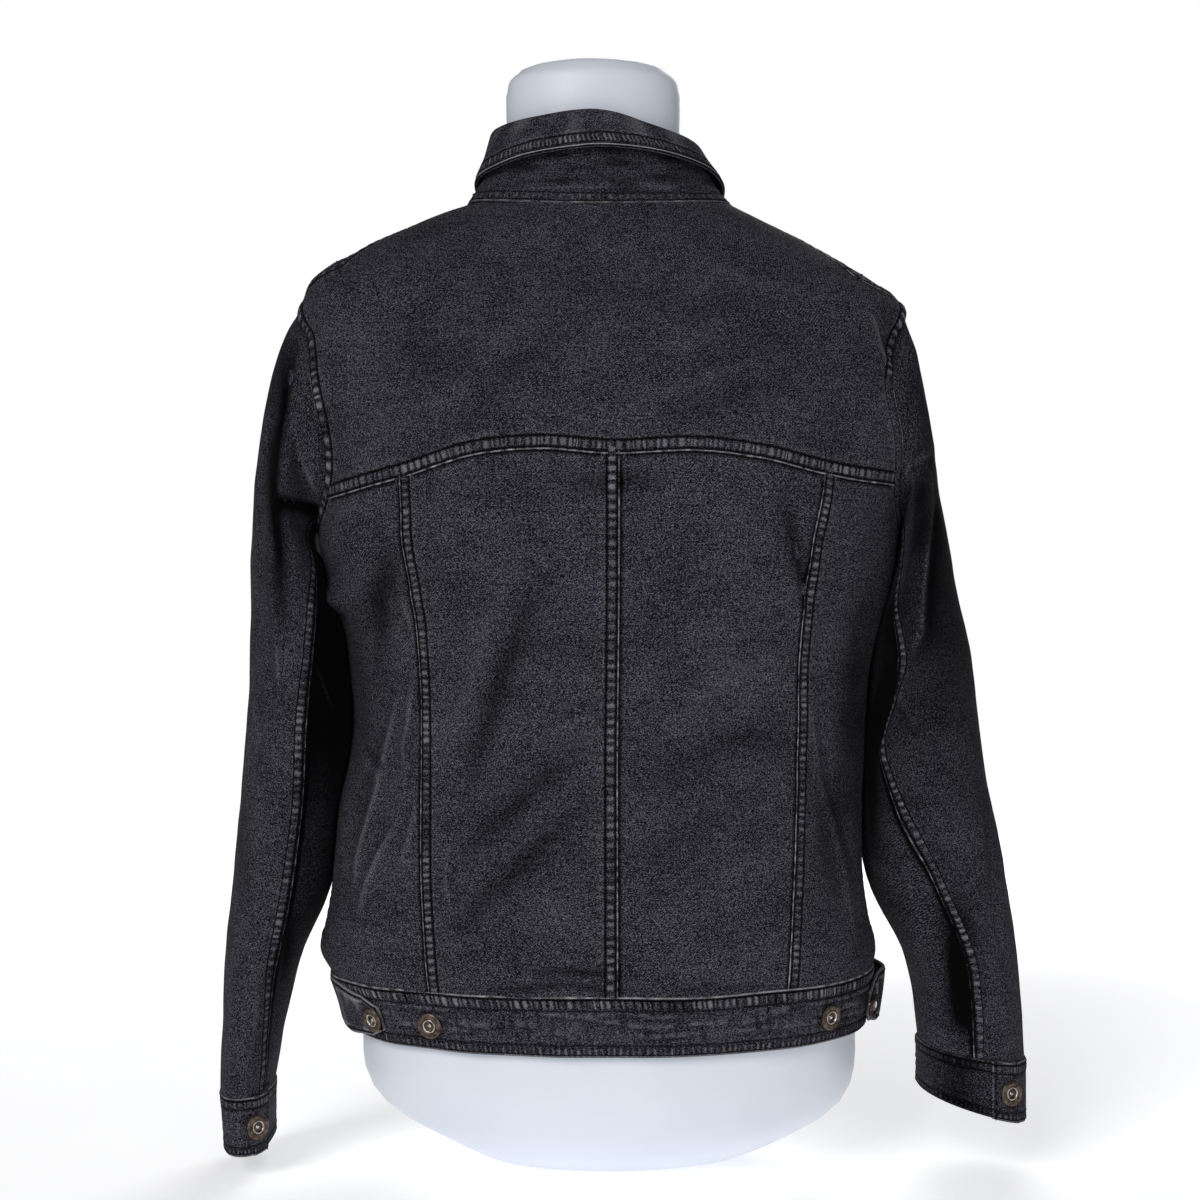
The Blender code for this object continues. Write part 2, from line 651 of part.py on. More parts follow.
def collar_wall(name, inner_lift, outer_lift, denim):
    """One layer of the collar, between two distances from its path towards the neck and over."""
    angles = np.linspace(COLLAR_END, -COLLAR_END, COLLAR_COLUMNS + 1)
    base = body_smooth(np.full(len(angles), NECK_SEAM), angles)
    row = read(BODY, NECK_SEAM)
    out = base - np.array([row["centre_x"], row["side_y"], 0])
    out[:, 2] = 0
    out /= np.linalg.norm(out, axis=1, keepdims=True)
    faces = []
    for lift in (inner_lift, outer_lift):
        grid = []
        for i, angle in enumerate(angles):
            path = collar_path(angle)
            slope = np.gradient(path, axis=0)
            slope /= np.linalg.norm(slope, axis=1, keepdims=True)
            moved = path + lift * np.column_stack([-slope[:, 1], slope[:, 0]])
            shift = np.clip(path[:, 1:] / path[:, 1].max(), 0, 1) * (COLLAR_SHIFT, 0, 0)
            grid.append(base[i] + moved[:, :1] * out[i] + moved[:, 1:] * (0, 0, 1.0) + shift)
        faces.append(np.array(grid).swapaxes(0, 1))
    add_wall(name, faces[0], faces[1], denim)


def add_collar(denim):
    """Undercollar and top collar, face to face, standing up to the roll and turned over."""
    collar_wall("undercollar", 0.0, CLOTH, denim)
    collar_wall("top_collar", CLOTH + GAP, 2 * CLOTH + GAP, denim)


def add_sleeve(label, folds, denim):
    """A sleeve's top and under piece, from the armhole to the cuff."""
    surface = sleeve_surface(label, folds)
    side = SLEEVES[label][0]
    last = len(SLEEVES[label][1]["out_x"])
    rings = np.concatenate([[0, 0.5], np.arange(1, last + 1.0)])
    pieces = {
        "sleeve_top": np.arange(SLEEVE_FRONT_SEAM - 2 * ARM_ROWS, SLEEVE_BACK_SEAM + 1.0),
        "sleeve_under": np.arange(SLEEVE_BACK_SEAM, SLEEVE_FRONT_SEAM + 1.0),
    }
    for name, steps in pieces.items():
        ring, step = np.meshgrid(rings, steps, indexing="ij")
        outer = surface(ring, step)
        normal = side * slope_normal(surface, np.clip(ring, RING_END, last - RING_END), step)
        body = slope_normal(body_smooth, *armhole(side, steps * 180.0 / ARM_ROWS))
        normal[0] = body  # both pieces end square to the torso cloth at the armhole
        faces = [
            shortened(shortened(face, "low", 0.75 * GAP), "high first last")
            for face in (outer, outer - normal * CLOTH)
        ]
        add_wall(f"{name}_{label}", *faces, denim)
    return surface, last


def cuff_steps(label, turn):
    """The sleeve grid step at an angle on the sleeve's last ring."""
    rows = SLEEVES[label][1]
    turns = (0, rows["back_seam"][-1], rows["front_seam"][-1], 360)
    return np.interp(turn, turns, (0, SLEEVE_BACK_SEAM, SLEEVE_FRONT_SEAM, 2 * ARM_ROWS))


def cuff_point(label, surface, last, turn, level, lift):
    """A cuff's outer face: turn runs on past 360 where it laps, level is 0 above and 1 below."""
    side = SLEEVES[label][0]
    drop, narrow = CUFFS[label][2:]
    edge = surface(last, cuff_steps(label, turn % 360))
    middle = surface(last, np.arange(0, 2 * ARM_ROWS, 1.0)).mean(axis=0)
    out = (edge - middle) * (1, 1, 0)
    reach = np.linalg.norm(out)
    aside = side * out[0]
    down = GAP + level * (CUFF_HEIGHT + drop * aside)
    return edge + out / reach * lift - (side * narrow * level * (aside + reach / 2), 0, down)


def cuff_ride(label, turn):
    """How far the lapped end stands out over the end beneath it."""
    end = CUFFS[label][0]
    return (BAND + 2 * GAP) * np.clip((turn - end - 360 + CUFF_LAP + CUFF_RAMP) / CUFF_RAMP, 0, 1)


def add_cuff(label, surface, last, denim):
    """A cuff as a strip wound once round the sleeve's end, its last end over its first."""
    end = CUFFS[label][0]
    rise = end + 360 - CUFF_LAP - CUFF_RAMP
    lap = np.array([-CUFF_LAP, -CUFF_LAP / 2, 0.0]) + end
    turns = np.concatenate([lap, np.linspace(end, rise, CUFF_COLUMNS)[1:], lap + 360])
    grids = [
        np.array(
            [
                [
                    cuff_point(label, surface, last, turn, level, CUFF_PROUD + cuff_ride(label, turn) - thick)
                    for turn in turns
                ]
                for level in CUFF_LEVELS
            ]
        )
        for thick in (0.0, BAND)
    ]
    add_wall(f"cuff_{label}", *grids, denim)


def cuff_button_seat(label, surface, last):
    """Where a cuff's button sits, and the way it faces."""
    turn = CUFFS[label][1] + 360
    lift = CUFF_PROUD + cuff_ride(label, turn) + GAP / 2
    centre = cuff_point(label, surface, last, turn, 0.5, lift)
    across = cuff_point(label, surface, last, turn + 1, 0.5, lift) - cuff_point(
        label, surface, last, turn - 1, 0.5, lift
    )
    down = cuff_point(label, surface, last, turn, 0.6, lift) - cuff_point(
        label, surface, last, turn, 0.4, lift
    )
    return centre, SLEEVES[label][0] * np.cross(down, across)


def add_button(name, centre, facing, metal):
    """A turned shank button with a ring and a nub, its axis along facing."""
    facing = facing / np.linalg.norm(facing)
    first = np.cross(facing, (0, 0, 1.0))
    first /= np.linalg.norm(first)
    second = np.cross(facing, first)
    turn = np.arange(BUTTON_STEPS) * 2 * np.pi / BUTTON_STEPS
    round_it = np.cos(turn)[:, None] * first + np.sin(turn)[:, None] * second
    rings = [centre + round_it * radius + facing * height for radius, height in BUTTON_PROFILE[1:-1]]
    points = np.concatenate(rings + [[centre + facing * BUTTON_PROFILE[0][1]]])
    points = np.concatenate([points, [centre + facing * BUTTON_PROFILE[-1][1]]])
    lines = np.arange(len(rings) * BUTTON_STEPS).reshape(len(rings), BUTTON_STEPS)
    lines = np.column_stack([lines, lines[:, 0]])
    faces = quads(lines)
    faces += [(lines[0, j], lines[0, j + 1], len(points) - 2) for j in range(BUTTON_STEPS)]
    faces += [(lines[-1, j], lines[-1, j + 1], len(points) - 1) for j in range(BUTTON_STEPS)]
    add_solid(name, points, faces, metal)


def band_place(distance, side):
    """Angle on the waistband at a distance from its side seam, positive towards the back."""
    angles = side * np.linspace(150, 20, 400)
    points = body_smooth(np.full(400, BAND_MIDDLE), angles)
    length = np.concatenate([[0], np.cumsum(np.linalg.norm(np.diff(points, axis=0), axis=1))])
    length -= np.interp(-90.0, -np.abs(angles), length)
    return np.interp(distance, length, angles)


def add_tab(label, denim):
    """A waist tab with a pointed end, on the band and standing off it in the middle."""
    side = SLEEVES[label][0]
    start, end, stand_off = TABS[label]
    part = np.linspace(0, 1, TAB_STEPS + 1)
    angle = band_place(start + part * (end - start), side)
    lift = BAND_PROUD + GAP + BAND + stand_off * np.sin(np.pi * np.clip(part / TAB_LOOP, 0, 1)) ** 2
    half = TAB_HEIGHT / 2 - TAB_POINT * np.clip((part - TAB_TIP) / (1 - TAB_TIP), 0, 1)
    height = BAND_MIDDLE + np.array(TAB_LEVELS)[:, None] * half
    angle, lift = (np.broadcast_to(values, height.shape) for values in (angle, lift))
    add_wall(f"tab_{label}", body_point(height, angle, lift), body_point(height, angle, lift - BAND), denim)
    return lift[0, -1]


def placket_face(height, lift):
    """A place up the middle of the front on the placket's flat facets."""
    rows = row_heights()
    above = np.searchsorted(rows, height)
    low, high = (body_point(h, angle_at_x(h, 0.0, front=True), lift) for h in rows[above - 1 : above + 1])
    return low + (high - low) * (height - rows[above - 1]) / (rows[above] - rows[above - 1])


def add_buttons(cuff_seats, tab_lift, metal):
    """Front, waist and cuff buttons, each on the layer that it closes."""
    over = 2 * GAP
    for i, height in enumerate(FRONT_BUTTONS):
        if height < WAIST_SEAM:
            angle = angle_at_x(height, 0.0, front=True)
            inner, outer = (body_point(height, angle, lift) for lift in (0.0, BAND_PROUD + BAND + over))
        else:
            inner, outer = (placket_face(height, lift) for lift in (0.0, CLOTH + over))
        add_button(f"front_button_{i + 1}", outer, outer - inner, metal)
    for name, (carrier, x) in WAIST_BUTTONS.items():
        angle = angle_at_x(BAND_MIDDLE, x)
        lift = BAND_PROUD if carrier == "free" else tab_lift
        centre = body_point(BAND_MIDDLE, angle, lift)
        add_button(name, centre, centre - body_point(BAND_MIDDLE, angle, 0.0), metal)
    for label, seat in cuff_seats.items():
        add_button(f"cuff_button_{label}", *seat, metal)


def add_form(shell):
    """The dress form: a whole smooth torso with a domed neck and a flat base."""
    heights = FORM["height"]
    angles = np.arange(FORM_COLUMNS) * 360.0 / FORM_COLUMNS
    height, angle = np.meshgrid(heights, angles, indexing="ij")
    points = section_point(FORM, height, angle).reshape(-1, 3)
    lines = np.arange(len(points)).reshape(height.shape)
    lines = np.column_stack([lines, lines[:, 0]])
    faces = quads(lines) + [tuple(lines[0, :-1]), tuple(lines[-1, :-1])]
    add_solid("form", points, faces, shell)


def principled(name, colour, roughness, metallic=0.0):
    material = bpy.data.materials.new(name)
    material.use_nodes = True
    shader = material.node_tree.nodes["Principled BSDF"]
    shader.inputs["Base Color"].default_value = (*colour, 1.0)
    shader.inputs["Roughness"].default_value = roughness
    shader.inputs["Metallic"].default_value = metallic
    material.diffuse_color = (*colour, 1.0)
    return material


def main():
    for item in list(bpy.data.objects):
        bpy.data.objects.remove(item, do_unlink=True)
    denim = principled("black washed denim", (0.035, 0.035, 0.04), 0.9)
    metal = principled("aged brass", (0.14, 0.12, 0.1), 0.4, 1.0)
    shell = principled("white moulded shell", (0.72, 0.77, 0.85), 0.45)
    add_form(shell)
    add_back(denim)
    add_fronts(denim)
    add_waistband(denim)
    add_collar(denim)
    cuff_seats = {}
    for label, folds in (("left", FOLDS_LEFT), ("right", FOLDS_RIGHT)):
        surface, last = add_sleeve(label, folds, denim)
        add_cuff(label, surface, last, denim)
        cuff_seats[label] = cuff_button_seat(label, surface, last)
        tab_lift = add_tab(label, denim)
    add_buttons(cuff_seats, tab_lift, metal)


main()
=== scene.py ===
"""Looks for a black washed denim jacket worn on a white moulded dress form.

Every piece of cloth is a thin shell on the shape of its solid, with its creases laid over it from
tables. Flat-felled seams are strips of their own on the cloth, puckered between two rows of
topstitching. Surfaces are worked out in millimetres, with the wearer facing -Y.
"""

import bmesh
import bpy
import numpy as np
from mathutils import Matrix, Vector


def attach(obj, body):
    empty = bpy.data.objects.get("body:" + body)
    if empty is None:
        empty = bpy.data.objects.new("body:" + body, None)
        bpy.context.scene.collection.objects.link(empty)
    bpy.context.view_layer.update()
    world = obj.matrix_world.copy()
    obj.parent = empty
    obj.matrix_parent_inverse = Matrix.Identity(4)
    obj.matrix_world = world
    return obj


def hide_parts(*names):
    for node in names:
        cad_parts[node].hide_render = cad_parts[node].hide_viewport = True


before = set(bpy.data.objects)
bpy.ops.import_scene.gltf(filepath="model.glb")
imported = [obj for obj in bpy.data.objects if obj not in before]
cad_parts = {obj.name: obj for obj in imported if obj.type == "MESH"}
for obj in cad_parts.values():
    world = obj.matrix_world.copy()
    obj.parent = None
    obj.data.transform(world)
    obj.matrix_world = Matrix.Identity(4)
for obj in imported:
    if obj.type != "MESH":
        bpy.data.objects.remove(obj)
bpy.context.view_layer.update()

MM = 0.001
SLOPE_STEP = 0.01  # the step of a parameter over which a slope is measured
RISE_POWER = 2.2  # how late a section rises or falls from its middle to its sides

CLOTH = 1.0  # one visible thickness of denim
BAND = 2.4  # doubled cloth of the hem band, cuffs and tabs
BAND_PROUD = 0.8  # how far the hem band stands off the body's surface
GAP = 0.3  # between neighbouring layers
OVER = 2 * GAP + BAND  # how far a doubled layer stands over another

WAIST_SEAM = 136.0
HEM = 96.0
YOKE_CENTRE = 497.5
NECK_SEAM = 662.0
UNDERARM = 445.0
SHOULDER_TIP = 590.0
ARMHOLE_HALF_DEPTH = 58.0
ARMHOLE_SQUARE = 0.8
LOW_ROWS = 9  # waist seam to underarm
ARM_ROWS = 12  # underarm to shoulder tip
NECK_ROWS = 5  # shoulder tip to neck seam
YOKE_ROW = 12
TOP_ROW = LOW_ROWS + ARM_ROWS + NECK_ROWS
PLACKET_WIDTH = 34.0
PLACKET_LIFT = CLOTH + 1.1  # how far the placket on top stands off the body's surface
SLEEVE_STEPS = 24
BACK_SEAM_STEP = 11
FRONT_SEAM_STEP = 16
SLEEVE_SQUARE = 2.3
SLEEVE_SEEN = 2.0  # the step from which a sleeve shows from behind
STEP_WIDTH = 15.5  # cloth round a sleeve for each step, on the flat
LINE_POINTS = 400  # on the line that a seam follows
SHARP = 62.0  # degrees between faces from which an edge is sharp
BUTTON_SHARP = 50.0
CUFF_HEIGHT = 40.0
BAND_MIDDLE = 116.0
BOTH = (("left", 1), ("right", -1))  # the wearer's sides


def table(columns, *rows):
    """A table with named columns, as one array for each column."""
    return {name: np.array(column, float) for name, column in zip(columns.split(), zip(*rows))}


# A section's height is that of its back; its sides and its front rise or fall to their own.
SECTION = "height left_z right_z front_z centre_x half_x back_y side_y front_y square"

BODY = table(
    SECTION,
    (96, 100, 101, 95, -3.5, 177, 114, -2, -120, 2.4),
    (116, 119, 121, 116, -2, 183, 116.5, -2, -122, 2.4),
    (136, 139, 142, 136, 1, 188, 118, -2, -123, 2.4),
    (150, 153, 155, 151, 4, 193, 121, -2, -126, 2.4),
    (170, 171.5, 173, 171, 4.5, 189, 120, -2, -125, 2.4),
    (190, 190.5, 191.5, 191, 4, 185.5, 118, -2, -123, 2.4),
    (220, 220, 220, 222, 3.5, 182, 114, -2, -119, 2.4),
    (255, 255, 255, 258, 2, 179, 108, -2, -115, 2.4),
    (293, 293, 293, 298, -1.5, 175.5, 105, -2, -115, 2.4),
    (346, 346, 346, 353, -4, 179.5, 107, -2, -124, 2.4),
    (381, 381, 381, 389, -6, 184, 111, -3, -132, 2.4),
    (411, 411, 411, 419, -6, 190, 114, -4, -135, 2.4),
    (441, 441, 441, 447, -4.5, 196.5, 117, -4, -133, 2.4),
    (483, 483, 483, 484, -4, 201, 118.5, -4, -124, 2.4),
    (540, 541, 541, 531, -1, 203, 114, -4, -107, 2.4),
    (570, 574, 574, 553, 0, 206, 106, -4, -99, 2.4),
    (590, 600, 600, 567, 2, 209, 98, -4, -94, 2.4),
    (596, 616, 608, 571, 2.5, 203, 95, -4, -92, 2.4),
    (604, 628, 618, 576, 3, 190, 91, -4, -89.5, 2.35),
    (616, 637, 629, 582, 3, 172, 85, -4, -87, 2.3),
    (632, 648.5, 643, 589, 3, 147, 78, -4, -84, 2.2),
    (648, 661, 658, 594, 3, 120, 70, -5, -81, 2.1),
    (662, 672, 671, 598, 3, 93, 62, -6, -78, 2.05),
)

FORM = table(
    SECTION,
    (0, 0, 0, 0, -4, 74, 16, -28, -76, 2.2),
    (3, 3, 3, 3, -5, 84, 27, -24, -85, 2.2),
    (11, 11, 11, 11, -7, 102, 44, -18, -94, 2.2),
    (25, 25, 25, 25, -8, 127, 66, -12, -103, 2.2),
    (38, 38, 38, 38, -7.5, 148, 84, -8, -109, 2.2),
    (53, 53, 53, 53, -6, 163, 96, -5, -113, 2.25),
    (72, 72, 72, 72, -4, 170.5, 104, -3, -114.5, 2.3),
    (96, 94, 94, 96, -3.5, 171.5, 107.5, -2, -114, 2.35),
    (136, 135, 135, 136, 0, 177, 110.5, -2, -115, 2.35),
    (165, 165, 165, 165, 1, 179, 111, -2, -116, 2.35),
    (200, 200, 200, 201, 1, 175, 108, -2, -113, 2.35),
    (250, 250, 250, 252, 0, 166, 98, -2, -105, 2.35),
    (293, 293, 293, 297, -1.5, 161, 92, -2, -101, 2.35),
    (346, 346, 346, 352, -3, 165, 96, -2, -111, 2.35),
    (395, 395, 395, 402, -4.5, 175, 104, -3, -123, 2.35),
    (441, 441, 441, 446, -4, 183, 108, -4, -122, 2.35),
    (500, 500, 500, 498, -3, 189, 108, -4, -108, 2.35),
    (540, 540, 540, 529, -1, 194, 105, -4, -97.5, 2.35),
    (570, 572, 572, 550, 0, 198, 98.5, -4, -91, 2.35),
    (588, 592, 592, 563, 2, 201, 92.5, -4, -87, 2.35),
    (596, 606, 602, 568.5, 2.5, 196, 89, -4, -84.5, 2.35),
    (604, 619, 612, 573.5, 3, 181, 85, -4, -82.5, 2.3),
    (616, 630.5, 623.5, 579.5, 3, 166, 80.5, -4, -80.5, 2.25),
    (632, 644.4, 639.2, 586.5, 3, 143.5, 74, -4, -78.5, 2.15),
    (648, 657.3, 654.3, 591.5, 3.5, 116.5, 66, -5, -76, 2.1),
    (662, 668, 667, 597, 4, 89, 56, -6, -72.5, 2.05),
    (673, 674, 673, 608, 5, 78, 46, -8, -64, 2.0),
    (688, 689, 688, 631, 6, 66.5, 38, -12, -57, 2.0),
    (707, 708, 707, 670, 7, 62, 34, -13, -53, 2.0),
    (732, 732, 732, 716, 7.5, 61, 33, -13, -52, 2.0),
    (752, 752, 752, 746, 7.5, 61, 32, -13, -52, 2.0),
    (764, 764, 764, 762, 7.5, 55, 27, -13, -48, 2.0),
    (770.5, 770.5, 770.5, 770, 7, 41, 17, -14, -42, 2.0),
    (773, 773, 773, 773, 6, 21, 3, -14, -29, 2.0),
    (773.6, 773.6, 773.6, 773.6, 6, 4, -11, -14, -17, 2.0),
)

YOKE_LINE = table(
    "x height",
    (-197, 466),
    (-147, 477.5),
    (-101, 492.5),
    (-56, 499),
    (-4, 497.5),
    (41, 501.5),
    (81, 499),
    (133, 484),
    (190, 466),
)

# How many rows the yoke seam is drawn up at each part of the back, and the rows that it pulls along.
YOKE_SHIFT = {
    1: ((0, 0.34, 0.63, 1.0, 1.85, 2.0), (-0.12, -0.17, -0.21, -0.16, 0.2, 0.25)),
    -1: ((0, 0.31, 0.67, 1.0, 1.9, 2.0), (-0.12, -0.12, 0.04, 0.48, 0.8, 0.8)),
}
YOKE_PULL = (9, 12, 21)

BACK_SEAMS = table(
    "height centre_x left_x right_x",
    (136, -4, 111, -124.5),
    (200, -4, 116, -128),
    (293, -4, 117.5, -132),
    (346, -4.5, 118.5, -132),
    (400, -5, 122, -136),
    (430, -5, 127.5, -140),
    (484, -5, 132, -149),
    (540, -4, 135, -142),
    (590, -1, 128, -126),
    (616, 1, 106, -100),
    (662, 3, 55, -48),
)

SHOULDER_SEAM = table("height angle", (590, 90), (600, 78), (616, 80), (640, 88), (662, 97))

SLEEVE = "out_x out_z in_x in_z mid_y half_y back_seam front_seam"

SLEEVE_LEFT = table(
    SLEEVE,
    (219.5, 586, 199, 447.5, -5, 60, 161, 238),
    (228, 560, 203, 441, -5, 64, 154, 241),
    (236, 524, 202, 429, -5, 69, 146, 246),
    (242, 480, 193, 411, -5, 73, 134, 252),
    (245, 428, 182, 386, -5, 74, 115, 256),
    (246, 374, 178.5, 350, -6, 73, 106, 258),
    (248.5, 318, 176, 306, -7, 71, 97, 260),
    (253, 261, 183, 256, -7, 68, 102, 260),
    (259, 205, 190.5, 203, -7, 64, 101, 260),
    (264, 150, 211, 150, -7, 59, 110, 260),
    (266, 105, 223, 105, -7, 56, 123, 260),
    (267, 56.5, 233, 56.5, -8, 52, 138, 260),
)

SLEEVE_RIGHT = table(
    SLEEVE,
    (-212, 582, -206, 447.5, -5, 59, 161, 238),
    (-219, 553, -206, 441, -5, 62, 154, 241),
    (-227, 514, -203, 429, -5, 66, 144, 246),
    (-233, 466, -198, 411, -5, 70, 138, 252),
    (-243, 416, -190, 386, -5, 72, 128, 256),
    (-254, 362, -186, 350, -6, 72, 116, 258),
    (-261, 308, -181, 300, -7, 70, 135, 260),
    (-270, 257, -180, 253, -8, 67, 116, 260),
    (-281, 206, -184, 204, -9, 63, 94, 258),
    (-288.5, 156, -207, 158, -10, 58, 88, 256),
    (-291.5, 118, -217, 124, -10, 54, 88, 256),
    (-294.5, 77, -221.5, 88, -10, 50, 90, 256),
)

FOLD = "start end angle_start angle_end depth half_width"

FOLDS_LEFT = table(
    FOLD,
    (1.6, 6.4, 62, 56, 7, 13),
    (1.2, 3.4, 100, 84, -4, 14),
    (5.5, 9.5, 118, 128, 4, 14),
)

FOLDS_RIGHT = table(
    FOLD,
    (3.4, 6.6, 132, 84, -5, 14),
    (7.6, 11.6, 104, 106, 8, 13),
    (1.8, 5.0, 62, 70, 4, 14),
)

SLEEVES = {"left": (1, SLEEVE_LEFT, FOLDS_LEFT), "right": (-1, SLEEVE_RIGHT, FOLDS_RIGHT)}
SLEEVE_END = 12.0

SIDE_FOLDS = table(
    "low_x low_z high_x high_z depth half_width",
    (164, 196, 140, 330, 4, 11),
    (170, 170, 150, 262, -3, 9),
    (-168, 165, -142, 306, 4, 10),
)

BULGES = table(  # where the torso's cloth swells towards the sleeves
    "height half_height angle half_angle out",
    (412, 42, 92, 34, 9),
    (262, 60, 92, 26, 4),
    (412, 42, -92, 34, 6),
    (285, 50, -94, 26, 5),
    (398, 9, 76, 16, 9),
    (436, 14, 70, 14, 5),
)

COLLAR = table(
    "angle stand lean fall flare",
    (-170, 31, 6, 50, 30),
    (-135, 35, 14, 31, 18),
    (-90, 37, 22, 24, 15),
    (-65, 44.5, 22, 18.5, 12.5),
    (-40, 54, 21, 18.5, 11),
    (-15, 62, 18, 22.5, 10.5),
    (0, 64, 17, 24, 11),
    (15, 63.5, 18, 25, 11.5),
    (45, 58, 21, 27, 13),
    (65, 52.5, 22, 31, 14),
    (90, 46, 23, 33, 15),
    (135, 41, 14, 35, 18),
    (170, 31, 6, 50, 30),
)
COLLAR_ROLL = 1.2
COLLAR_SHIFT = 3.0
COLLAR_END = 170.0
COLLAR_BACK = 80.0  # the part seen from behind

# The turn of each cuff's lapped end and of its button, how it slopes, and how it narrows downward.
CUFFS = {"left": (156.0, 124.0, 0.0, 0.12), "right": (82.0, 64.0, 0.15, 0.0)}
CUFF_COLUMNS = 301
CUFF_PROUD = 1.0
CUFF_LAP = 30.0
CUFF_RAMP = 12.0
CUFF_SHADE_X = 242.0  # the painted shade of the right sleeve's hollow runs down onto its cuff here

# Where each tab starts and ends past the side seam, how far it stands off, and how its end lifts.
TABS = {"left": (-6.0, 92.0, 1.0, 9.0), "right": (-30.0, 44.0, 7.0, 7.0)}
TAB_HEIGHT = 30.0
TAB_POINT = 7.0  # how much its tip narrows on each side
TAB_LOOP = 0.75  # the part of its length that stands off
TAB_TIP = 0.85  # the part of its length at which the tip starts

FRONT_BUTTONS = (116.0, 210.0, 304.0, 398.0, 492.0, 598.0)
WAIST_BUTTONS = {
    "waist_button_left_free": ("free", 113.0),
    "waist_button_left_tab": ("left", 150.0),
    "waist_button_right_free": ("free", -148.0),
    "waist_button_right_tab": ("right", -177.0),
}

# Creases worn into the cloth, as lines of (x, z) seen from behind. A ridge has a pale worn crest
# with a trough beside it, painted darker as shade, a lap is a folded edge, high on one side and
# sunk on the other, with painted shade on the sunk side, and a soft one is a swell or a hollow,
# painted a little lighter or darker as light and shade. Each row holds its kind, rise, half width,
# how pale it is (or, below 0, how dark its painted shade is) and its line. The trough, or the sunk
# side, is to the right of the line as it runs, or to the left where the row ends with -1. The same
# creases show on the front, mirrored.
TORSO_CREASES = (
    ("ridge", 1.8, 3.2, 0.17, ((137, 336), (147, 301), (157, 261), (166, 218), (166, 190)), -1),
    ("ridge", 1.4, 3.0, 0.11, ((126, 349), (130, 316), (135, 295), (131, 277))),
    ("ridge", 1.5, 3.0, 0.15, ((137, 250), (149, 228), (157, 208), (163, 186)), -1),
    ("ridge", 1.2, 2.6, 0.11, ((123, 267), (129, 239), (137, 211)), -1),
    ("ridge", 1.0, 2.6, 0.11, ((134, 412), (130, 388), (125, 369)), -1),
    ("ridge", 1.6, 3.0, 0.14, ((-136, 325), (-145, 276), (-157, 245), (-164, 218), (-170, 165))),
    ("ridge", 1.1, 2.6, 0.11, ((-121, 438), (-126, 410), (-131, 384))),
    ("ridge", 1.4, 3.2, 0.17, ((166, 300), (160, 283), (152, 276))),
    ("ridge", 0.8, 2.4, 0.14, ((100, 235), (104, 212), (101, 196))),
    ("lap", 1.6, 3.0, 0.5, ((-180, 590), (-184, 583), (-188, 566), (-194, 547))),
    ("soft", -1.5, 2.4, -0.6, ((96, 141), (52, 143), (28, 146), (-8, 143), (-34, 141))),
    ("soft", -1.0, 2.2, -0.45, ((-40, 142), (-70, 144), (-110, 142))),
    ("soft", -0.8, 3.0, -0.56, ((50, 152), (20, 155), (-20, 151))),
    ("ridge", 1.0, 2.2, 0.14, ((60, 149), (30, 151), (4, 150), (-20, 147))),
    ("soft", -2.2, 9.0, -0.45, ((140, 432), (146, 402), (152, 368))),
    ("soft", -1.8, 10.0, -0.4, ((176, 396), (170, 352), (168, 300), (166, 252))),
    ("soft", -1.6, 10.0, -0.65, ((-176, 420), (-170, 350), (-166, 290), (-170, 240))),
    ("soft", -1.6, 12.0, -0.39, ((-150, 290), (-158, 240), (-160, 190))),
    ("soft", -1.3, 16.0, -0.22, ((-150, 570), (-120, 560), (-90, 566))),
    ("soft", -1.3, 16.0, -0.22, ((150, 580), (116, 560), (84, 570))),
    ("soft", -0.8, 3.5, -0.7, ((186, 396), (180, 388), (170, 384))),
    ("soft", -1.8, 6.5, -0.63, ((92, 259), (80, 304), (64, 356), (47, 392), (26, 418))),
    ("soft", 1.0, 6.0, 0.04, ((107, 278), (90, 330), (73, 382), (53, 428))),
    ("soft", -1.5, 6.0, -0.53, ((102, 216), (68, 252), (31, 285), (5, 311))),
    ("soft", -1.6, 6.5, -0.59, ((104, 169), (76, 203), (37, 239), (7, 270))),
    ("soft", 0.8, 6.0, 0.03, ((96, 190), (63, 231), (22, 260))),
    ("soft", -1.5, 8.0, -0.39, ((-18, 264), (-50, 286), (-83, 304), (-115, 303), (-132, 276))),
    ("soft", -1.0, 8.0, -0.27, ((-16, 219), (-56, 244), (-104, 266))),
    ("soft", 0.9, 5.0, 0.05, ((-35, 303), (-67, 334), (-99, 354), (-129, 363))),
    ("soft", -1.6, 4.5, -0.7, ((-117, 470), (-124, 435), (-134, 385))),
    ("soft", -1.6, 7.0, -0.4, ((141, 441), (147, 382), (152, 324))),
    ("soft", -0.8, 6.0, -0.56, ((31, 472), (-1, 471), (-37, 475))),
    ("soft", 0.7, 5.0, 0.03, ((162, 489), (94, 545), (14, 599))),
    ("soft", -0.7, 6.0, -0.22, ((133, 479), (68, 538), (7, 586))),
    ("soft", 0.8, 4.5, 0.04, ((-5, 517), (-56, 535), (-115, 558), (-149, 565))),
    ("soft", -0.8, 6.0, -0.29, ((-23, 506), (-69, 522), (-128, 542))),
    ("soft", -0.9, 7.0, -0.29, ((-37, 572), (-76, 591), (-115, 598))),
)

PULLS = table(  # cloth of the back drawn out over the sleeves: where, how far round, out and back
    "x z half_x half_z out back",
    (188, 541, 20, 40, 8, 2.5),
    (-192, 504, 20, 36, -9, 3.0),
)
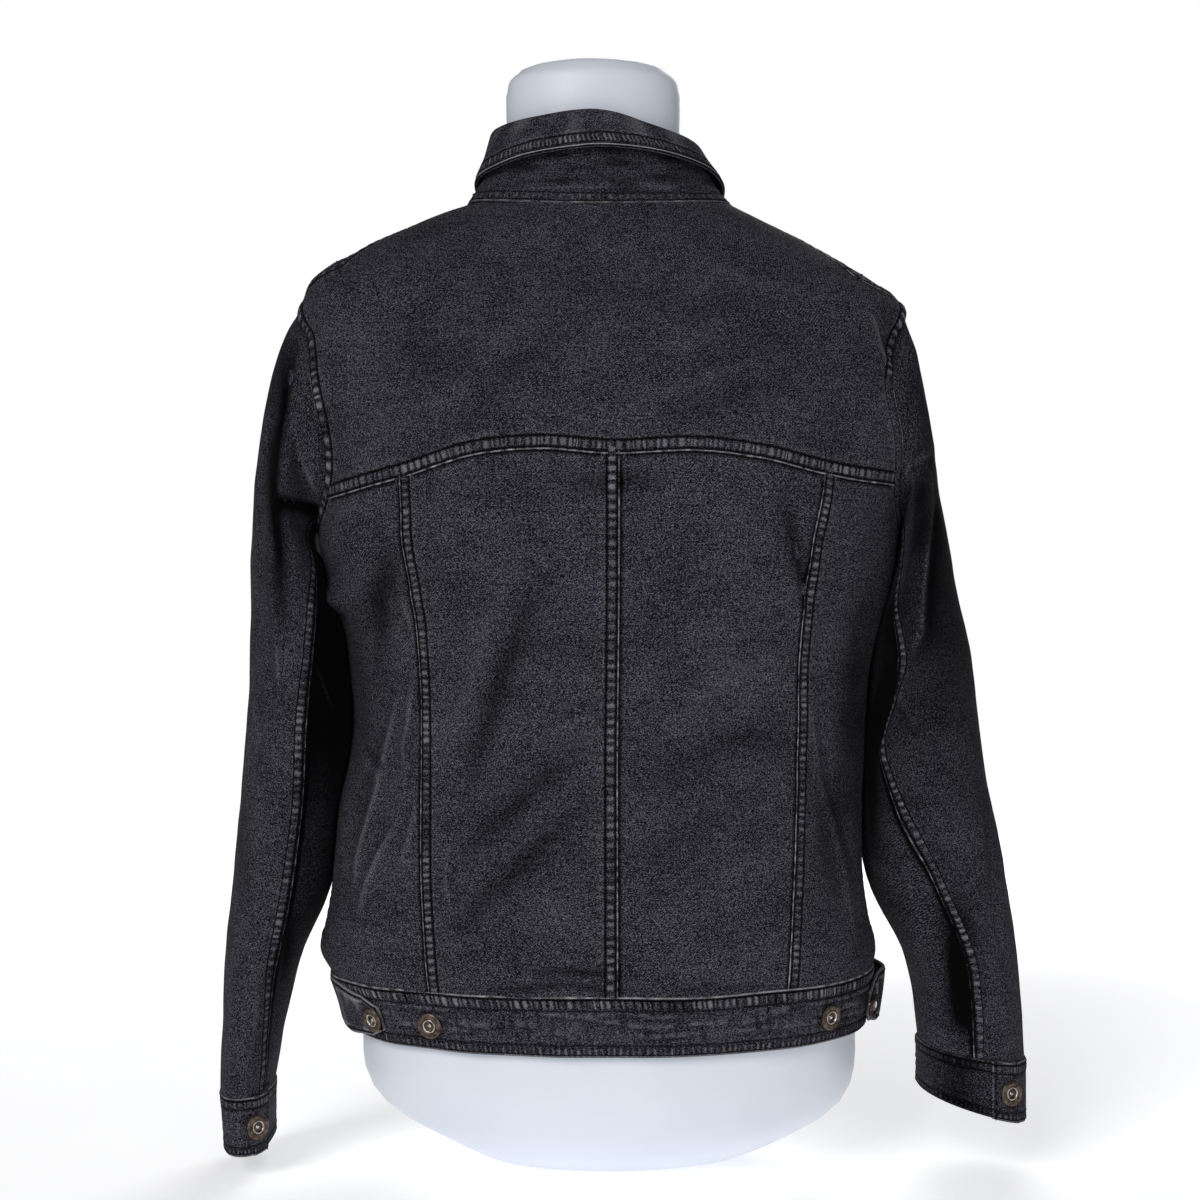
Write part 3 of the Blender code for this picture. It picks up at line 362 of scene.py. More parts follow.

# The sleeves' creases, in the same rows as the torso's; a soft row with no rise is painted shade alone.
SLEEVE_CREASES = {
    "left": (
        (
            "lap", 2.6, 3.0, 0.15,
            ((206, 582), (209, 555), (212, 535), (214, 511), (216, 491), (220, 472), (220, 467)), -1,
        ),
        ("lap", 2.0, 3.0, 0.45, ((221, 468), (208, 465), (197, 462), (189, 455)), -1),
        (
            "soft", -2.0, 5.0, -1.0,
            ((214, 545), (218, 518), (224, 498), (224, 477), (222, 457), (218, 430), (217, 396),
             (216, 368)),
        ),
        ("soft", 0.0, 10.0, -0.4, ((211, 582), (219, 555), (228, 518))),
        ("soft", 0.0, 4.0, -0.9, ((220, 461), (207, 459), (193, 454))),
        ("ridge", 1.2, 2.4, 0.14, ((223, 443), (224, 412), (223, 382)), -1),
        ("ridge", 1.2, 2.4, 0.14, ((222, 396), (220, 362), (218, 328)), -1),
        ("ridge", 0.9, 2.4, 0.09, ((239, 334), (237, 319), (235, 304))),
        ("ridge", 1.4, 2.4, 0.18, ((207, 494), (201, 480), (196, 467)), -1),
        ("ridge", 1.2, 4.0, 0.18, ((196, 355), (189, 334), (183, 315))),
        ("soft", -1.2, 5.0, -0.5, ((211, 188), (216, 157), (220, 124))),
        ("ridge", 0.9, 2.6, 0.09, ((214, 198), (220, 168), (223, 130))),
        ("soft", -1.4, 8.0, -0.25, ((245, 266), (249, 219), (247, 171))),
        ("ridge", 1.2, 6.0, 0.05, ((233, 157), (237, 110), (242, 76))),
    ),
    "right": (
        ("ridge", 2.2, 3.4, 0.14, ((-201, 475), (-207, 485), (-215, 491), (-225, 500)), -1),
        ("soft", -1.6, 7.0, -0.35, ((-201, 458), (-209, 465), (-219, 475))),
        ("soft", -1.0, 8.0, -0.25, ((-205, 423), (-211, 443), (-219, 464))),
        ("soft", -0.8, 8.0, -0.3, ((-205, 566), (-211, 538), (-216, 514))),
        ("soft", -1.0, 13.0, -0.15, ((-224, 464), (-229, 423), (-231, 382), (-226, 334), (-222, 287))),
        (
            "lap", 1.5, 2.4, 0.5,
            ((-224, 484), (-224, 464), (-220, 433), (-216, 403), (-214, 377), (-206, 351)),
        ),
        ("lap", 2.0, 2.6, 0.4, ((-206, 351), (-201, 340), (-193, 311), (-188, 291), (-186, 274)), -1),
        ("soft", -1.0, 7.0, -1.0, ((-178, 355), (-177, 328), (-178, 287), (-180, 246), (-185, 205))),
        ("soft", -1.0, 6.0, -0.6, ((-192, 334), (-186, 314), (-182, 294))),
        ("soft", -0.8, 10.0, -1.2, ((-236, 205), (-241, 168), (-244, 130), (-246, 95), (-249, 52))),
        ("soft", -1.0, 1.8, -0.6, ((-207, 140), (-211, 118), (-219, 99))),
        ("ridge", 1.2, 2.6, 0.11, ((-208, 205), (-209, 197), (-211, 187))),
        ("ridge", 1.4, 2.8, 0.11, ((-215, 166), (-216, 155), (-218, 144))),
        ("ridge", 1.0, 3.0, 0.08, ((-254, 260), (-257, 226), (-260, 186))),
        ("ridge", 1.0, 3.0, 0.09, ((-201, 331), (-207, 317), (-216, 299)), -1),
        ("ridge", 1.4, 6.0, 0.05, ((-269, 239), (-275, 191), (-278, 137))),
    ),
}

# Painted shade: how dark the under sleeve is painted where it lies in the body's shadow at each ring,
# and how dark the whole sleeve is painted where it is turned away from the light.
UNDER_SHADE = {
    "left": ((0, 0.2), (1.5, 0.7), (3, 1.0), (7, 1.0), (8.5, 0.55), (10, 0.4), (12, 0.3)),
    "right": ((0, 0.4), (3, 0.45), (5, 0.4), (6.5, 0.3), (8, 0.1), (12, 0.0)),
}
SLEEVE_SHADE = {"left": 0.12, "right": 0.68}

RIPPLES = ((0.8, 120.0), (0.45, 55.0), (0.16, 22.0))  # swell and wavelength of worn cloth's unevenness
FRONT_LOWER = 12.0  # how much lower the creases lie on the front
FRONT_AWAY = 40.0  # the front takes its unevenness from another place


def smooth(at, knots, values, each=False):
    """A cubic curve through values at knots, read at each place.

    With each, every place has values of its own: values[knot, place, ...].
    """
    at = np.asarray(at, float)
    slopes = np.gradient(values, knots, axis=0)
    low = np.clip(np.searchsorted(knots, at, side="right") - 1, 0, len(knots) - 2)
    place = (np.arange(len(at)),) if each else ()
    start, end, leave, arrive = (
        grid[(row, *place)] for grid in (values, slopes) for row in (low, low + 1)
    )
    span = knots[low + 1] - knots[low]
    part = (at - knots[low]) / span
    extra = (1,) * (start.ndim - part.ndim)
    part, span = part.reshape(part.shape + extra), span.reshape(span.shape + extra)
    return (
        start * (1 + 2 * part) * (1 - part) ** 2
        + end * part**2 * (3 - 2 * part)
        + leave * span * part * (1 - part) ** 2
        + arrive * span * part**2 * (part - 1)
    )


def together(*values):
    """Values as arrays of one shape."""
    return np.broadcast_arrays(*(np.asarray(value, float) for value in values))


def read(rows, height):
    """Every column of a table at each height."""
    return {name: smooth(height, rows["height"], rows[name]) for name in rows}


def unit(vectors):
    return vectors / np.maximum(np.linalg.norm(vectors, axis=-1, keepdims=True), 1e-9)


def lengths(points):
    """Distance along a line of points."""
    return np.concatenate([[0], np.cumsum(np.linalg.norm(np.diff(points, axis=0), axis=1))])


def half_depth(row, rear):
    """From a section's sides to its back, or to its front."""
    return np.where(rear, row["back_y"] - row["side_y"], row["side_y"] - row["front_y"])


def section_point(rows, height, angle):
    """A point of a torso section; angle 0 is the centre back and 90 the wearer's left side."""
    height, angle = together(height, np.radians(angle))
    row = read(rows, height)
    sine, cosine = np.sin(angle), np.cos(angle)
    depth = half_depth(row, cosine > 0)
    power = row["square"]
    radius = (np.abs(sine / row["half_x"]) ** power + np.abs(cosine / depth) ** power) ** (-1 / power)
    across = radius * sine
    middle = np.where(cosine > 0, height, row["front_z"])
    side = np.where(sine > 0, row["left_z"], row["right_z"])
    z = middle + (side - middle) * (np.abs(across) / row["half_x"]) ** RISE_POWER
    return np.stack([row["centre_x"] + across, row["side_y"] + radius * cosine, z], axis=-1)


def body_smooth(height, angle):
    return section_point(BODY, height, angle)


def slope_normal(surface, first, second):
    """Outward unit normal of a surface of two parameters."""
    step = SLOPE_STEP
    along = surface(first + step, second) - surface(first - step, second)
    across = surface(first, second + step) - surface(first, second - step)
    return unit(np.cross(along, across))


def angle_at_x(height, x, front=False):
    """The angle at which a section passes a place across the back or the front."""
    row = read(BODY, height)
    across = x - row["centre_x"]
    depth = row["front_y"] - row["side_y"] if front else row["back_y"] - row["side_y"]
    part = np.clip(1 - np.abs(across / row["half_x"]) ** row["square"], 0, 1)
    return np.degrees(np.arctan2(across, depth * part ** (1 / row["square"])))


def ease(value):
    """0 below 0, 1 above 1 and a soft rise between."""
    value = np.clip(value, 0, 1)
    return value * value * (3 - 2 * value)


def cliff(value, width):
    """0 far below 0 and 1 far above it, with most of the rise within the width."""
    return 1 / (1 + np.exp(-value / width))


def bump(distance, half):
    """1 at no distance, falling softly to 0.37 at half."""
    return np.exp(-((distance / half) ** 2))


def bumps(distance, *rows):
    """The sum of bumps given as rows of strength, place and half width."""
    return sum(strength * bump(distance - place, half) for strength, place, half in rows)


def ripple(x, y, seed, wavelength):
    """Even, seamless unevenness between about -1 and 1."""
    rng = np.random.default_rng(seed)
    total = 0.0
    for _ in range(9):
        heading = rng.uniform(0, np.pi)
        length = wavelength * rng.uniform(0.7, 1.5)
        phase = rng.uniform(0, 2 * np.pi)
        total = total + np.sin((x * np.cos(heading) + y * np.sin(heading)) * 2 * np.pi / length + phase)
    return total / 4.5


def wander(x, seed, wavelength):
    """As ripple, along one way."""
    return ripple(x, 0 * x, seed, wavelength)


def along_line(x, z, line):
    """Signed distance from a line of points, its left side positive, and the part of it passed."""
    line = np.array(line, float)
    steps = np.diff(line, axis=0)
    spans = np.hypot(*steps.T)
    passed = np.concatenate([[0], np.cumsum(spans)])
    best = np.full(np.shape(x), np.inf)
    aside, part = np.zeros(np.shape(x)), np.zeros(np.shape(x))
    for (x0, z0), (dx, dz), length, before in zip(line, steps, spans, passed):
        t = np.clip(((x - x0) * dx + (z - z0) * dz) / length**2, 0, 1)
        distance = np.hypot(x - x0 - t * dx, z - z0 - t * dz)
        side = np.sign(dx * (z - z0) - dz * (x - x0))
        near = distance < best
        best = np.where(near, distance, best)
        aside = np.where(near, distance * side, aside)
        part = np.where(near, (before + t * length) / passed[-1], part)
    return aside, part


def crease(x, z, kind, rise, half, pale, line, side=1):
    """Height and paleness of one crease, which dies away at both ends: a worn crest or fold, painted shade
    in a trough, on a sunk side or in a hollow, and painted light on a swell.
    """
    aside, part = along_line(x, z, line)
    aside = aside * side
    held = np.sin(np.pi * np.clip(part, 0.02, 0.98)) ** 0.7
    if kind == "lap":
        held = np.clip(held * 1.4, 0, 1)
        high = cliff(aside, 1.1)
        sunk = (1 - high) * rise
        height = rise * high * np.exp(-np.abs(aside) / (6 * half)) - sunk * bump(aside, 3 * half)
        # a pale worn fold, with painted shade on the sunk side
        fade = 0.6 * pale * bump(aside - 1.2, 2.0) - 0.2 * sunk * bump(aside, 4 * half)
    elif kind == "soft":
        height = rise * bump(aside, half)
        # painted shade in a hollow, painted light on a swell
        fade = pale * bump(aside, 1.2 * half)
    else:
        height = rise * (bump(aside, half) - 0.8 * bump(aside + 1.8 * half, 1.2 * half))
        # a pale worn crest, with painted shade in the trough beside it
        fade = pale * (1.3 * bump(aside, 1.7) - 1.6 * bump(aside + 1.5 * half, half))
    return held * height, held * fade


def worn_and_shaded(x, z, facing, creases, seed, mirror):
    """Height of creases and ripples, and the creases' wear and painted shade; facing is 1 where the cloth
    faces back.

    mirror is -1 where the front has the back's creases the other way round.
    """
    height, fade = 0.0, 0.0
    for flip, drop, shows in ((1, 0, ease(facing * 3)), (mirror, FRONT_LOWER, ease(-facing * 3))):
        for one in creases:
            rise, pale = crease(x * flip, z - drop, *one)
            height, fade = height + rise * shows, fade + pale * shows
    for i, (swell, wavelength) in enumerate(RIPPLES):
        height = height + swell * ripple(x + FRONT_AWAY * np.sign(facing), z, seed + i, wavelength)
    return height, fade


def side_folds(points):
    """The largest folds beside the waist, which the solid has too."""
    depth = np.zeros(points.shape[:-1])
    for low_x, low_z, high_x, high_z, deep, half in zip(*SIDE_FOLDS.values()):
        along_x, along_z = high_x - low_x, high_z - low_z
        length = np.hypot(along_x, along_z)
        x, z = points[..., 0] - low_x, points[..., 2] - low_z
        along = np.clip((x * along_x + z * along_z) / length**2, 0, 1)
        aside = (x * along_z - z * along_x) / length
        depth += deep * np.sin(np.pi * along) * bump(aside, half)
    return depth * (points[..., 1] > 0)


def pulled(base):
    """How far the cloth is drawn out over the sleeves at each point."""
    moved = np.zeros(base.shape)
    for x, z, half_x, half_z, out, rear in zip(*PULLS.values()):
        share = bump(base[..., 0] - x, half_x) * bump(base[..., 2] - z, half_z) * ease(base[..., 1] / 30)
        moved = moved + share[..., None] * (out, rear, 0)
    return moved


def bulge(height, angle):
    """How far the torso's cloth swells at each place."""
    total = 0.0
    for middle, half_height, at, half_angle, out in zip(*BULGES.values()):
        away = np.mod(angle - at + 180, 360) - 180
        total = total + out * bump(height - middle, half_height) * bump(away, half_angle)
    return total


TURNS = np.arange(-200.0, 400.0)
GIRTH = lengths(body_smooth(300.0, TURNS))


def girth(angle):
    """Distance round the torso at an angle."""
    return np.interp(angle, TURNS, GIRTH)


def torso(height, angle, lift=0.0, calm=1.0):
    """Points, normals, cloth coordinates, and the wear and painted shade of the torso's cloth."""
    height, angle = together(height, angle)
    base = body_smooth(height, angle)
    normal = slope_normal(body_smooth, height, angle)
    rise, fade = worn_and_shaded(base[..., 0], base[..., 2], normal[..., 1], TORSO_CREASES, 11, -1)
    near_waist = 0.35 + 0.65 * ease((base[..., 2] - WAIST_SEAM) / 40)
    above = lift + bulge(height, angle) + calm * (rise * near_waist - side_folds(base))
    points = base + normal * np.asarray(above)[..., None] + pulled(base)
    return points, normal, np.stack([girth(angle), height], axis=-1), fade * calm


def armhole(side, turn):
    """Height and section angle on an armhole; turn 0 is its top, 90 its back edge."""
    turn = np.radians(turn)
    height = UNDERARM + (SHOULDER_TIP - UNDERARM) * (1 + np.cos(turn)) / 2
    row = read(BODY, height)
    reach = ARMHOLE_HALF_DEPTH * np.sign(np.sin(turn)) * np.abs(np.sin(turn)) ** ARMHOLE_SQUARE
    depth = half_depth(row, reach > 0)
    part = (1 - np.abs(reach / depth) ** row["square"]) ** (1 / row["square"])
    return height, side * np.degrees(np.arctan2(row["half_x"] * part, reach))


def row_turn(row):
    """The turn round the armhole at each row."""
    return 180 - np.clip(row - LOW_ROWS, 0, ARM_ROWS) * 180 / ARM_ROWS


def side_height(row):
    """Height of each row at the torso's side."""
    low = WAIST_SEAM + (UNDERARM - WAIST_SEAM) * row / LOW_ROWS
    arm = armhole(1, row_turn(row))[0]
    neck = SHOULDER_TIP + (NECK_SEAM - SHOULDER_TIP) * (row - LOW_ROWS - ARM_ROWS) / NECK_ROWS
    return np.where(row < LOW_ROWS, low, np.where(row <= LOW_ROWS + ARM_ROWS, arm, neck))


def edge_angle(side, row, back):
    """Angle of the side seam, the armhole's edge and the shoulder seam at each row."""
    turn = row_turn(row)
    arm = armhole(side, turn if back else 360 - turn)[1]
    height = np.clip(side_height(row), SHOULDER_TIP, NECK_SEAM)
    shoulder = side * smooth(height, SHOULDER_SEAM["height"], SHOULDER_SEAM["angle"])
    return np.where(row < LOW_ROWS, side * 90.0, np.where(row <= LOW_ROWS + ARM_ROWS, arm, shoulder))


def back_place(side, row, part):
    """Height and angle on the back: part 0 at the centre, 1 at the princess seam, 2 at the side."""
    row, part = together(row, part)
    row = row + np.interp(part, *YOKE_SHIFT[side]) * np.interp(row, YOKE_PULL, (0, 1, 0))
    sides = side_height(row)
    yoke_side = side_height(np.array(float(YOKE_ROW)))
    stretch = (YOKE_CENTRE - WAIST_SEAM) / (yoke_side - WAIST_SEAM)
    squeeze = (SHOULDER_TIP - YOKE_CENTRE) / (SHOULDER_TIP - yoke_side)
    low = WAIST_SEAM + (sides - WAIST_SEAM) * stretch
    centre = np.where(sides < yoke_side, low, YOKE_CENTRE + (sides - yoke_side) * squeeze)
    centre = np.where(sides > SHOULDER_TIP, sides, centre)
    seam = "left_x" if side > 0 else "right_x"

    def angles(height, at_row):
        middle, princess = (
            angle_at_x(height, smooth(height, BACK_SEAMS["height"], BACK_SEAMS[name]))
            for name in ("centre_x", seam)
        )
        outer = princess + (edge_angle(side, at_row, True) - princess) * (part - 1)
        return np.where(part < 1, middle + (princess - middle) * part, outer)

    at_yoke = angles(np.full(part.shape, YOKE_CENTRE), np.full(part.shape, float(YOKE_ROW)))
    x = side * YOKE_LINE["x"]
    order = np.argsort(x)
    line = smooth(side * body_smooth(YOKE_CENTRE, at_yoke)[..., 0], x[order], YOKE_LINE["height"][order])
    weight = np.where(part >= 2, 1, (YOKE_CENTRE - line) / (YOKE_CENTRE - yoke_side))
    weight = np.where(part <= 0, 0, weight)
    height = centre + (sides - centre) * weight
    return height, angles(height, row)


def back(side):
    """One half of the back, from the centre seam to the side."""
    return lambda row, part: torso(*back_place(side, row, part))


def back_line(side, part, start, end):
    """Heights and angles of a line up the back, between two rows."""
    return back_place(side, np.linspace(start, end, LINE_POINTS), part)


def yoke_place(row, part):
    """Height and angle on the whole back: part runs from -2, the wearer's right, to 2."""
    row, part = together(row, part)
    left, right = back_place(1, row, np.maximum(part, 0)), back_place(-1, row, np.maximum(-part, 0))
    return tuple(np.where(part >= 0, a, b) for a, b in zip(left, right))


def yoke(row, part):
    return torso(*yoke_place(row, part))


def front(side):
    """A front from its side, part 0, to its placket seam, part 1."""

    def surface(row, part):
        row, part = together(row, part)
        height = side_height(row)
        edge = edge_angle(side, row, False)
        close = angle_at_x(height, side * PLACKET_WIDTH / 2, front=True)
        return torso(height, edge + (close - edge) * part)

    return surface


def ring_points(label, turns):
    """Points of each ring of a sleeve: [ring, place, xyz] from turns[ring, place]."""
    side, rows, _ = SLEEVES[label]
    rings = [body_smooth(*armhole(side, turns[0]))]
    for i, (out_x, out_z, in_x, in_z, mid_y, half_y) in enumerate(
        zip(*(rows[name] for name in "out_x out_z in_x in_z mid_y half_y".split()))
    ):
        turn = np.radians(turns[i + 1])
        top, aside = (np.sign(v) * np.abs(v) ** (2 / SLEEVE_SQUARE) for v in (np.cos(turn), np.sin(turn)))
        x = (out_x + in_x) / 2 + top * (out_x - in_x) / 2
        z = (out_z + in_z) / 2 + top * (out_z - in_z) / 2
        rings.append(np.stack([x, mid_y + aside * half_y, z], axis=-1))
    return np.array(rings)


def ring_turns(label, steps):
    """The turn of each grid step on each ring."""
    rows = SLEEVES[label][1]
    knots = (0, BACK_SEAM_STEP, FRONT_SEAM_STEP, SLEEVE_STEPS)
    seams = zip(rows["back_seam"], rows["front_seam"])
    return np.array([steps * 15.0] + [np.interp(steps, knots, (0, a, b, 360)) for a, b in seams])


RING_KNOTS = np.arange(SLEEVE_END + 1)


def sleeve_smooth(label):
    """A sleeve without creases, as a function of its ring and grid step."""
    folds = SLEEVES[label][2]
    even = np.arange(0.0, SLEEVE_STEPS)
    middles = ring_points(label, ring_turns(label, even)).mean(axis=1)

    def surface(ring, step):
        ring, step = together(ring, step)
        flat = np.clip(ring.ravel(), 0, SLEEVE_END)
        turns = ring_turns(label, np.mod(step.ravel(), SLEEVE_STEPS))
        points = smooth(flat, RING_KNOTS, ring_points(label, turns), each=True)
        turn = smooth(flat, RING_KNOTS, turns, each=True)
        inward = unit(smooth(flat, RING_KNOTS, middles) - points)
        depth = np.zeros(len(points))
        for start, end, first, last, deep, half in zip(*folds.values()):
            part = (flat - start) / (end - start)
            held = np.where((part > 0) & (part < 1), np.sin(np.pi * np.clip(part, 0, 1)), 0)
            depth += deep * held * bump(turn - first - (last - first) * part, half)
        return (points + inward * depth[:, None]).reshape(ring.shape + (3,))

    return surface


def sleeve(label):
    """Points, normals, cloth coordinates, and the wear and painted shade of a sleeve."""
    side = SLEEVES[label][0]
    plain = sleeve_smooth(label)
    down = plain(RING_KNOTS, 6.0)
    passed = lengths(down)

    def surface(ring, step):
        ring, step = together(ring, step)
        base = plain(ring, step)
        normal = side * slope_normal(plain, np.clip(ring, 0.02, SLEEVE_END - 0.02), step)
        rise, fade = worn_and_shaded(base[..., 0], base[..., 2], normal[..., 1], SLEEVE_CREASES[label], 31 + side, 1)
        calm = ease(ring / 0.6) * (0.3 + 0.7 * ease((SLEEVE_END - ring) / 0.8))
        points = base + normal * (rise * calm)[..., None]
        # Painted shade: a shadow line round the sleeve head at the armhole, the under sleeve in the body's
        # shadow, and the sleeve's back turned from the light, which leaves its pale marks.
        shade = np.interp(ring, *np.transpose(UNDER_SHADE[label]))
        around = np.mod(step, SLEEVE_STEPS)
        turned = ease((around - BACK_SEAM_STEP - 0.15) / 0.3)
        turned = turned * ease((FRONT_SEAM_STEP + 0.5 - around) / 1.5)
        away = SLEEVE_SHADE[label] * bump(ring - 4.5, 4.0) * ease(normal[..., 1] * 3) * ease(1 - 4 * fade)
        fade = fade * calm - 0.7 * bump(ring, 0.3) - shade * turned - away
        uv = np.stack([step * STEP_WIDTH, -np.interp(ring, RING_KNOTS, passed)], axis=-1)
        return points, normal, uv, fade

    return surface


# ---------------------------------------------------------------- meshes


def quads(lines):
    """Faces of four corners between lines of point numbers."""
    corners = lines[:-1, :-1], lines[:-1, 1:], lines[1:, 1:], lines[1:, :-1]
    return np.stack(corners, axis=-1).reshape(-1, 4)


def grid_normal(points, like):
    """Normals of a grid of points, on the side that like points to."""
    normal = unit(np.cross(np.gradient(points, axis=0), np.gradient(points, axis=1)))
    return normal * np.sign((normal * like).sum(axis=-1).mean())


INNER_WEAR_AND_LIGHT = 0.3  # how much of the outer face's wear and painted light shows on the inner one


class Cloth:
    """Points, faces, cloth coordinates, and wear and painted light gathered for one piece."""

    def __init__(self):
        self.points, self.faces, self.uv, self.fade, self.count = [], [], [], [], 0

    def add(self, points, faces, uv, fade):
        self.faces += [block + self.count for block in faces if len(block)]
        self.points.append(points)
        self.uv.append(uv)
        self.fade.append(fade)
        self.count += len(points)

    def shell(self, outer, normal, thick, uv, fade, every=2):
        """A closed sheet: a fine outer face and an inner one with fewer points."""
        face = grid_normal(outer, normal)
        flip = (np.cross(outer[1, 0] - outer[0, 0], outer[0, 1] - outer[0, 0]) * normal[0, 0]).sum() > 0
        inner = (outer - face * thick)[::every, ::every]
        rows, columns = outer.shape[:2]
        front = np.arange(rows * columns).reshape(rows, columns)
        behind = np.arange(inner.shape[0] * inner.shape[1]).reshape(inner.shape[:2]) + rows * columns
        blocks = [quads(front) if flip else quads(front)[:, ::-1]]
        blocks.append(quads(behind)[:, ::-1] if flip else quads(behind))
        for line, under, turn in (
            (front[0], behind[0], True),
            (front[-1], behind[-1], False),
            (front[:, 0], behind[:, 0], False),
            (front[:, -1], behind[:, -1], True),
        ):
            fan = [line[i : len(line) - every + i : every] for i in range(every)]
            fan += [line[every::every], under[1:], under[:-1]]
            fan = np.stack(fan, axis=-1)
            blocks.append(fan[:, ::-1] if turn == flip else fan)
        self.add(
            np.concatenate([outer.reshape(-1, 3), inner.reshape(-1, 3)]),
            blocks,
            np.concatenate([uv.reshape(-1, 2), uv[::every, ::every].reshape(-1, 2)]),
            np.concatenate([fade.ravel(), fade[::every, ::every].ravel() * INNER_WEAR_AND_LIGHT]),
        )

    def odd_shell(self, outer, normal, thick, uv, fade):
        """A shell of a grid whose rows and columns may be even in number."""
        self.shell(pad_odd(outer), pad_odd(normal), thick, pad_odd(uv), pad_odd(fade))

    def piece(self, name, nodes, material):
        """What was gathered, as one mesh with its cloth coordinates, and its wear and painted light."""
        mesh = new_mesh(name, np.concatenate(self.points) * MM, self.faces)
        uv = np.concatenate(self.uv) * MM
        corner = np.empty(len(mesh.loops), np.int32)
        mesh.loops.foreach_get("vertex_index", corner)
        mesh.uv_layers.new(name="cloth").data.foreach_set("uv", uv[corner].ravel())
        fade = mesh.attributes.new("fade", "FLOAT", "POINT")
        fade.data.foreach_set("value", np.concatenate(self.fade).astype(np.float32))
        return finish_piece(name, mesh, nodes, material)


def new_mesh(name, points, blocks):
    """A smooth mesh from points and blocks of faces with as many corners each."""
    mesh = bpy.data.meshes.new(name)
    corners = np.concatenate([block.ravel() for block in blocks]).astype(np.int32)
    sizes = np.concatenate([np.full(len(block), block.shape[1]) for block in blocks])
    mesh.vertices.add(len(points))
    mesh.vertices.foreach_set("co", np.asarray(points, np.float32).ravel())
    mesh.loops.add(len(corners))
    mesh.loops.foreach_set("vertex_index", corners)
    mesh.polygons.add(len(sizes))
    mesh.polygons.foreach_set("loop_start", (np.cumsum(sizes) - sizes).astype(np.int32))
    mesh.update(calc_edges=True)
    mesh.validate()
    mesh.shade_smooth()
    mesh.set_sharp_from_angle(angle=np.radians(SHARP))
    return mesh


def finish_piece(name, mesh, nodes, material):
    """A mesh as a piece on the one body, in place of its nodes."""
    mesh.materials.append(material)
    item = bpy.data.objects.new(name, mesh)
    bpy.context.scene.collection.objects.link(item)
    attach(item, "root")
    if nodes:
        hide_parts(*nodes)
    return item


# ---------------------------------------------------------------- seams

stitch_lines = []


def stitched(points, facing, out=0.3):
    """Leaves a line of points for the topstitching."""
    stitch_lines.append(points + facing * out)


def stitched_rows(points, facing, levels, places):
    """Rows of stitches along a band, at places up it."""
    for place in places:
        row = int(np.argmin(np.abs(levels - place)))
        stitched(points[row], facing[row])


def rungs(length, period, uneven, seed):
    """Puckers along a seam: where each starts and how strong it is."""
    rng = np.random.default_rng(seed)
    count = int(length / period) + 4
    starts = np.cumsum(np.concatenate([[-period], period * (1 + uneven * rng.uniform(-1, 1, count + 4))]))
    return starts, rng.uniform(0.7, 1.0, len(starts))


def rung_height(passed, puckers, crown=2.0):
    """Height of the puckers, 0 to 1: a small crown gives flat ribs with narrow gaps."""
    starts, strength = puckers
    low = np.clip(np.searchsorted(starts, passed, side="right") - 1, 0, len(starts) - 2)
    part = (passed - starts[low]) / (starts[low + 1] - starts[low])
    return strength[low] * np.sin(np.pi * np.clip(part, 0, 1)) ** crown


def at_puckers(puckers, length, count):
    """Places along a seam: the start of each pucker and count - 1 more inside it."""
    starts = puckers[0]
    at = (starts[:-1, None] + np.diff(starts)[:, None] * np.arange(count) / count).ravel()
    return np.concatenate([[0], at[(at > 0.3) & (at < length - 0.3)], [length]])


SEAM_HALF = 4.2  # half the width of a flat-felled seam
SEAM_ROW = 3.0  # each row of stitches from the middle
SEAM_SHOULDER = 10.5  # where the strip runs out into the panels
SEAM_EDGE = 4.9  # just past the folded edge
SEAM_LAYER = 1.2  # how thick the strip is
EDGE_PROUD = 2.2  # how far the fold of an edge seam passes its line
EDGE_RISE = 1.3  # how far that fold stands up
SEAM_ACROSS = np.array(  # places across a seam, closest at its stitches and its folded edge
    [-10.5, -7.9, -6.4, -5.5, -4.8, -4.2, -3.75, -3.35, -3.0, -2.65, -2.2, -1.6, -0.8, 0]
    + [0.8, 1.6, 2.2, 2.65, 3.0, 3.35, 3.7, 3.95, 4.15, 4.35, 4.6, 4.9, 5.5, 7.4, 10.5]
)


def spaced(surface, first, second, spacing):
    """A line on a surface with its places an even distance apart, in fours."""
    passed = lengths(surface(first, second)[0])
    even = np.linspace(0, passed[-1], 4 * int(np.ceil(passed[-1] / spacing / 4)) + 1)
    return np.interp(even, passed, first), np.interp(even, passed, second)


def across_line(surface, first, second, nudge):
    """The way across a line on a surface, and each parameter's change for 1 mm of it."""
    middle, normal = surface(first, second)[:2]
    aside = unit(np.cross(normal, np.gradient(middle, axis=0)))
    slopes = [
        (surface(first + a, second + b)[0] - surface(first - a, second - b)[0]) / (2 * (a + b))
        for a, b in ((nudge[0], 0), (0, nudge[1]))
    ]
    return aside, np.linalg.pinv(np.stack(slopes, axis=-1)) @ aside[..., None]


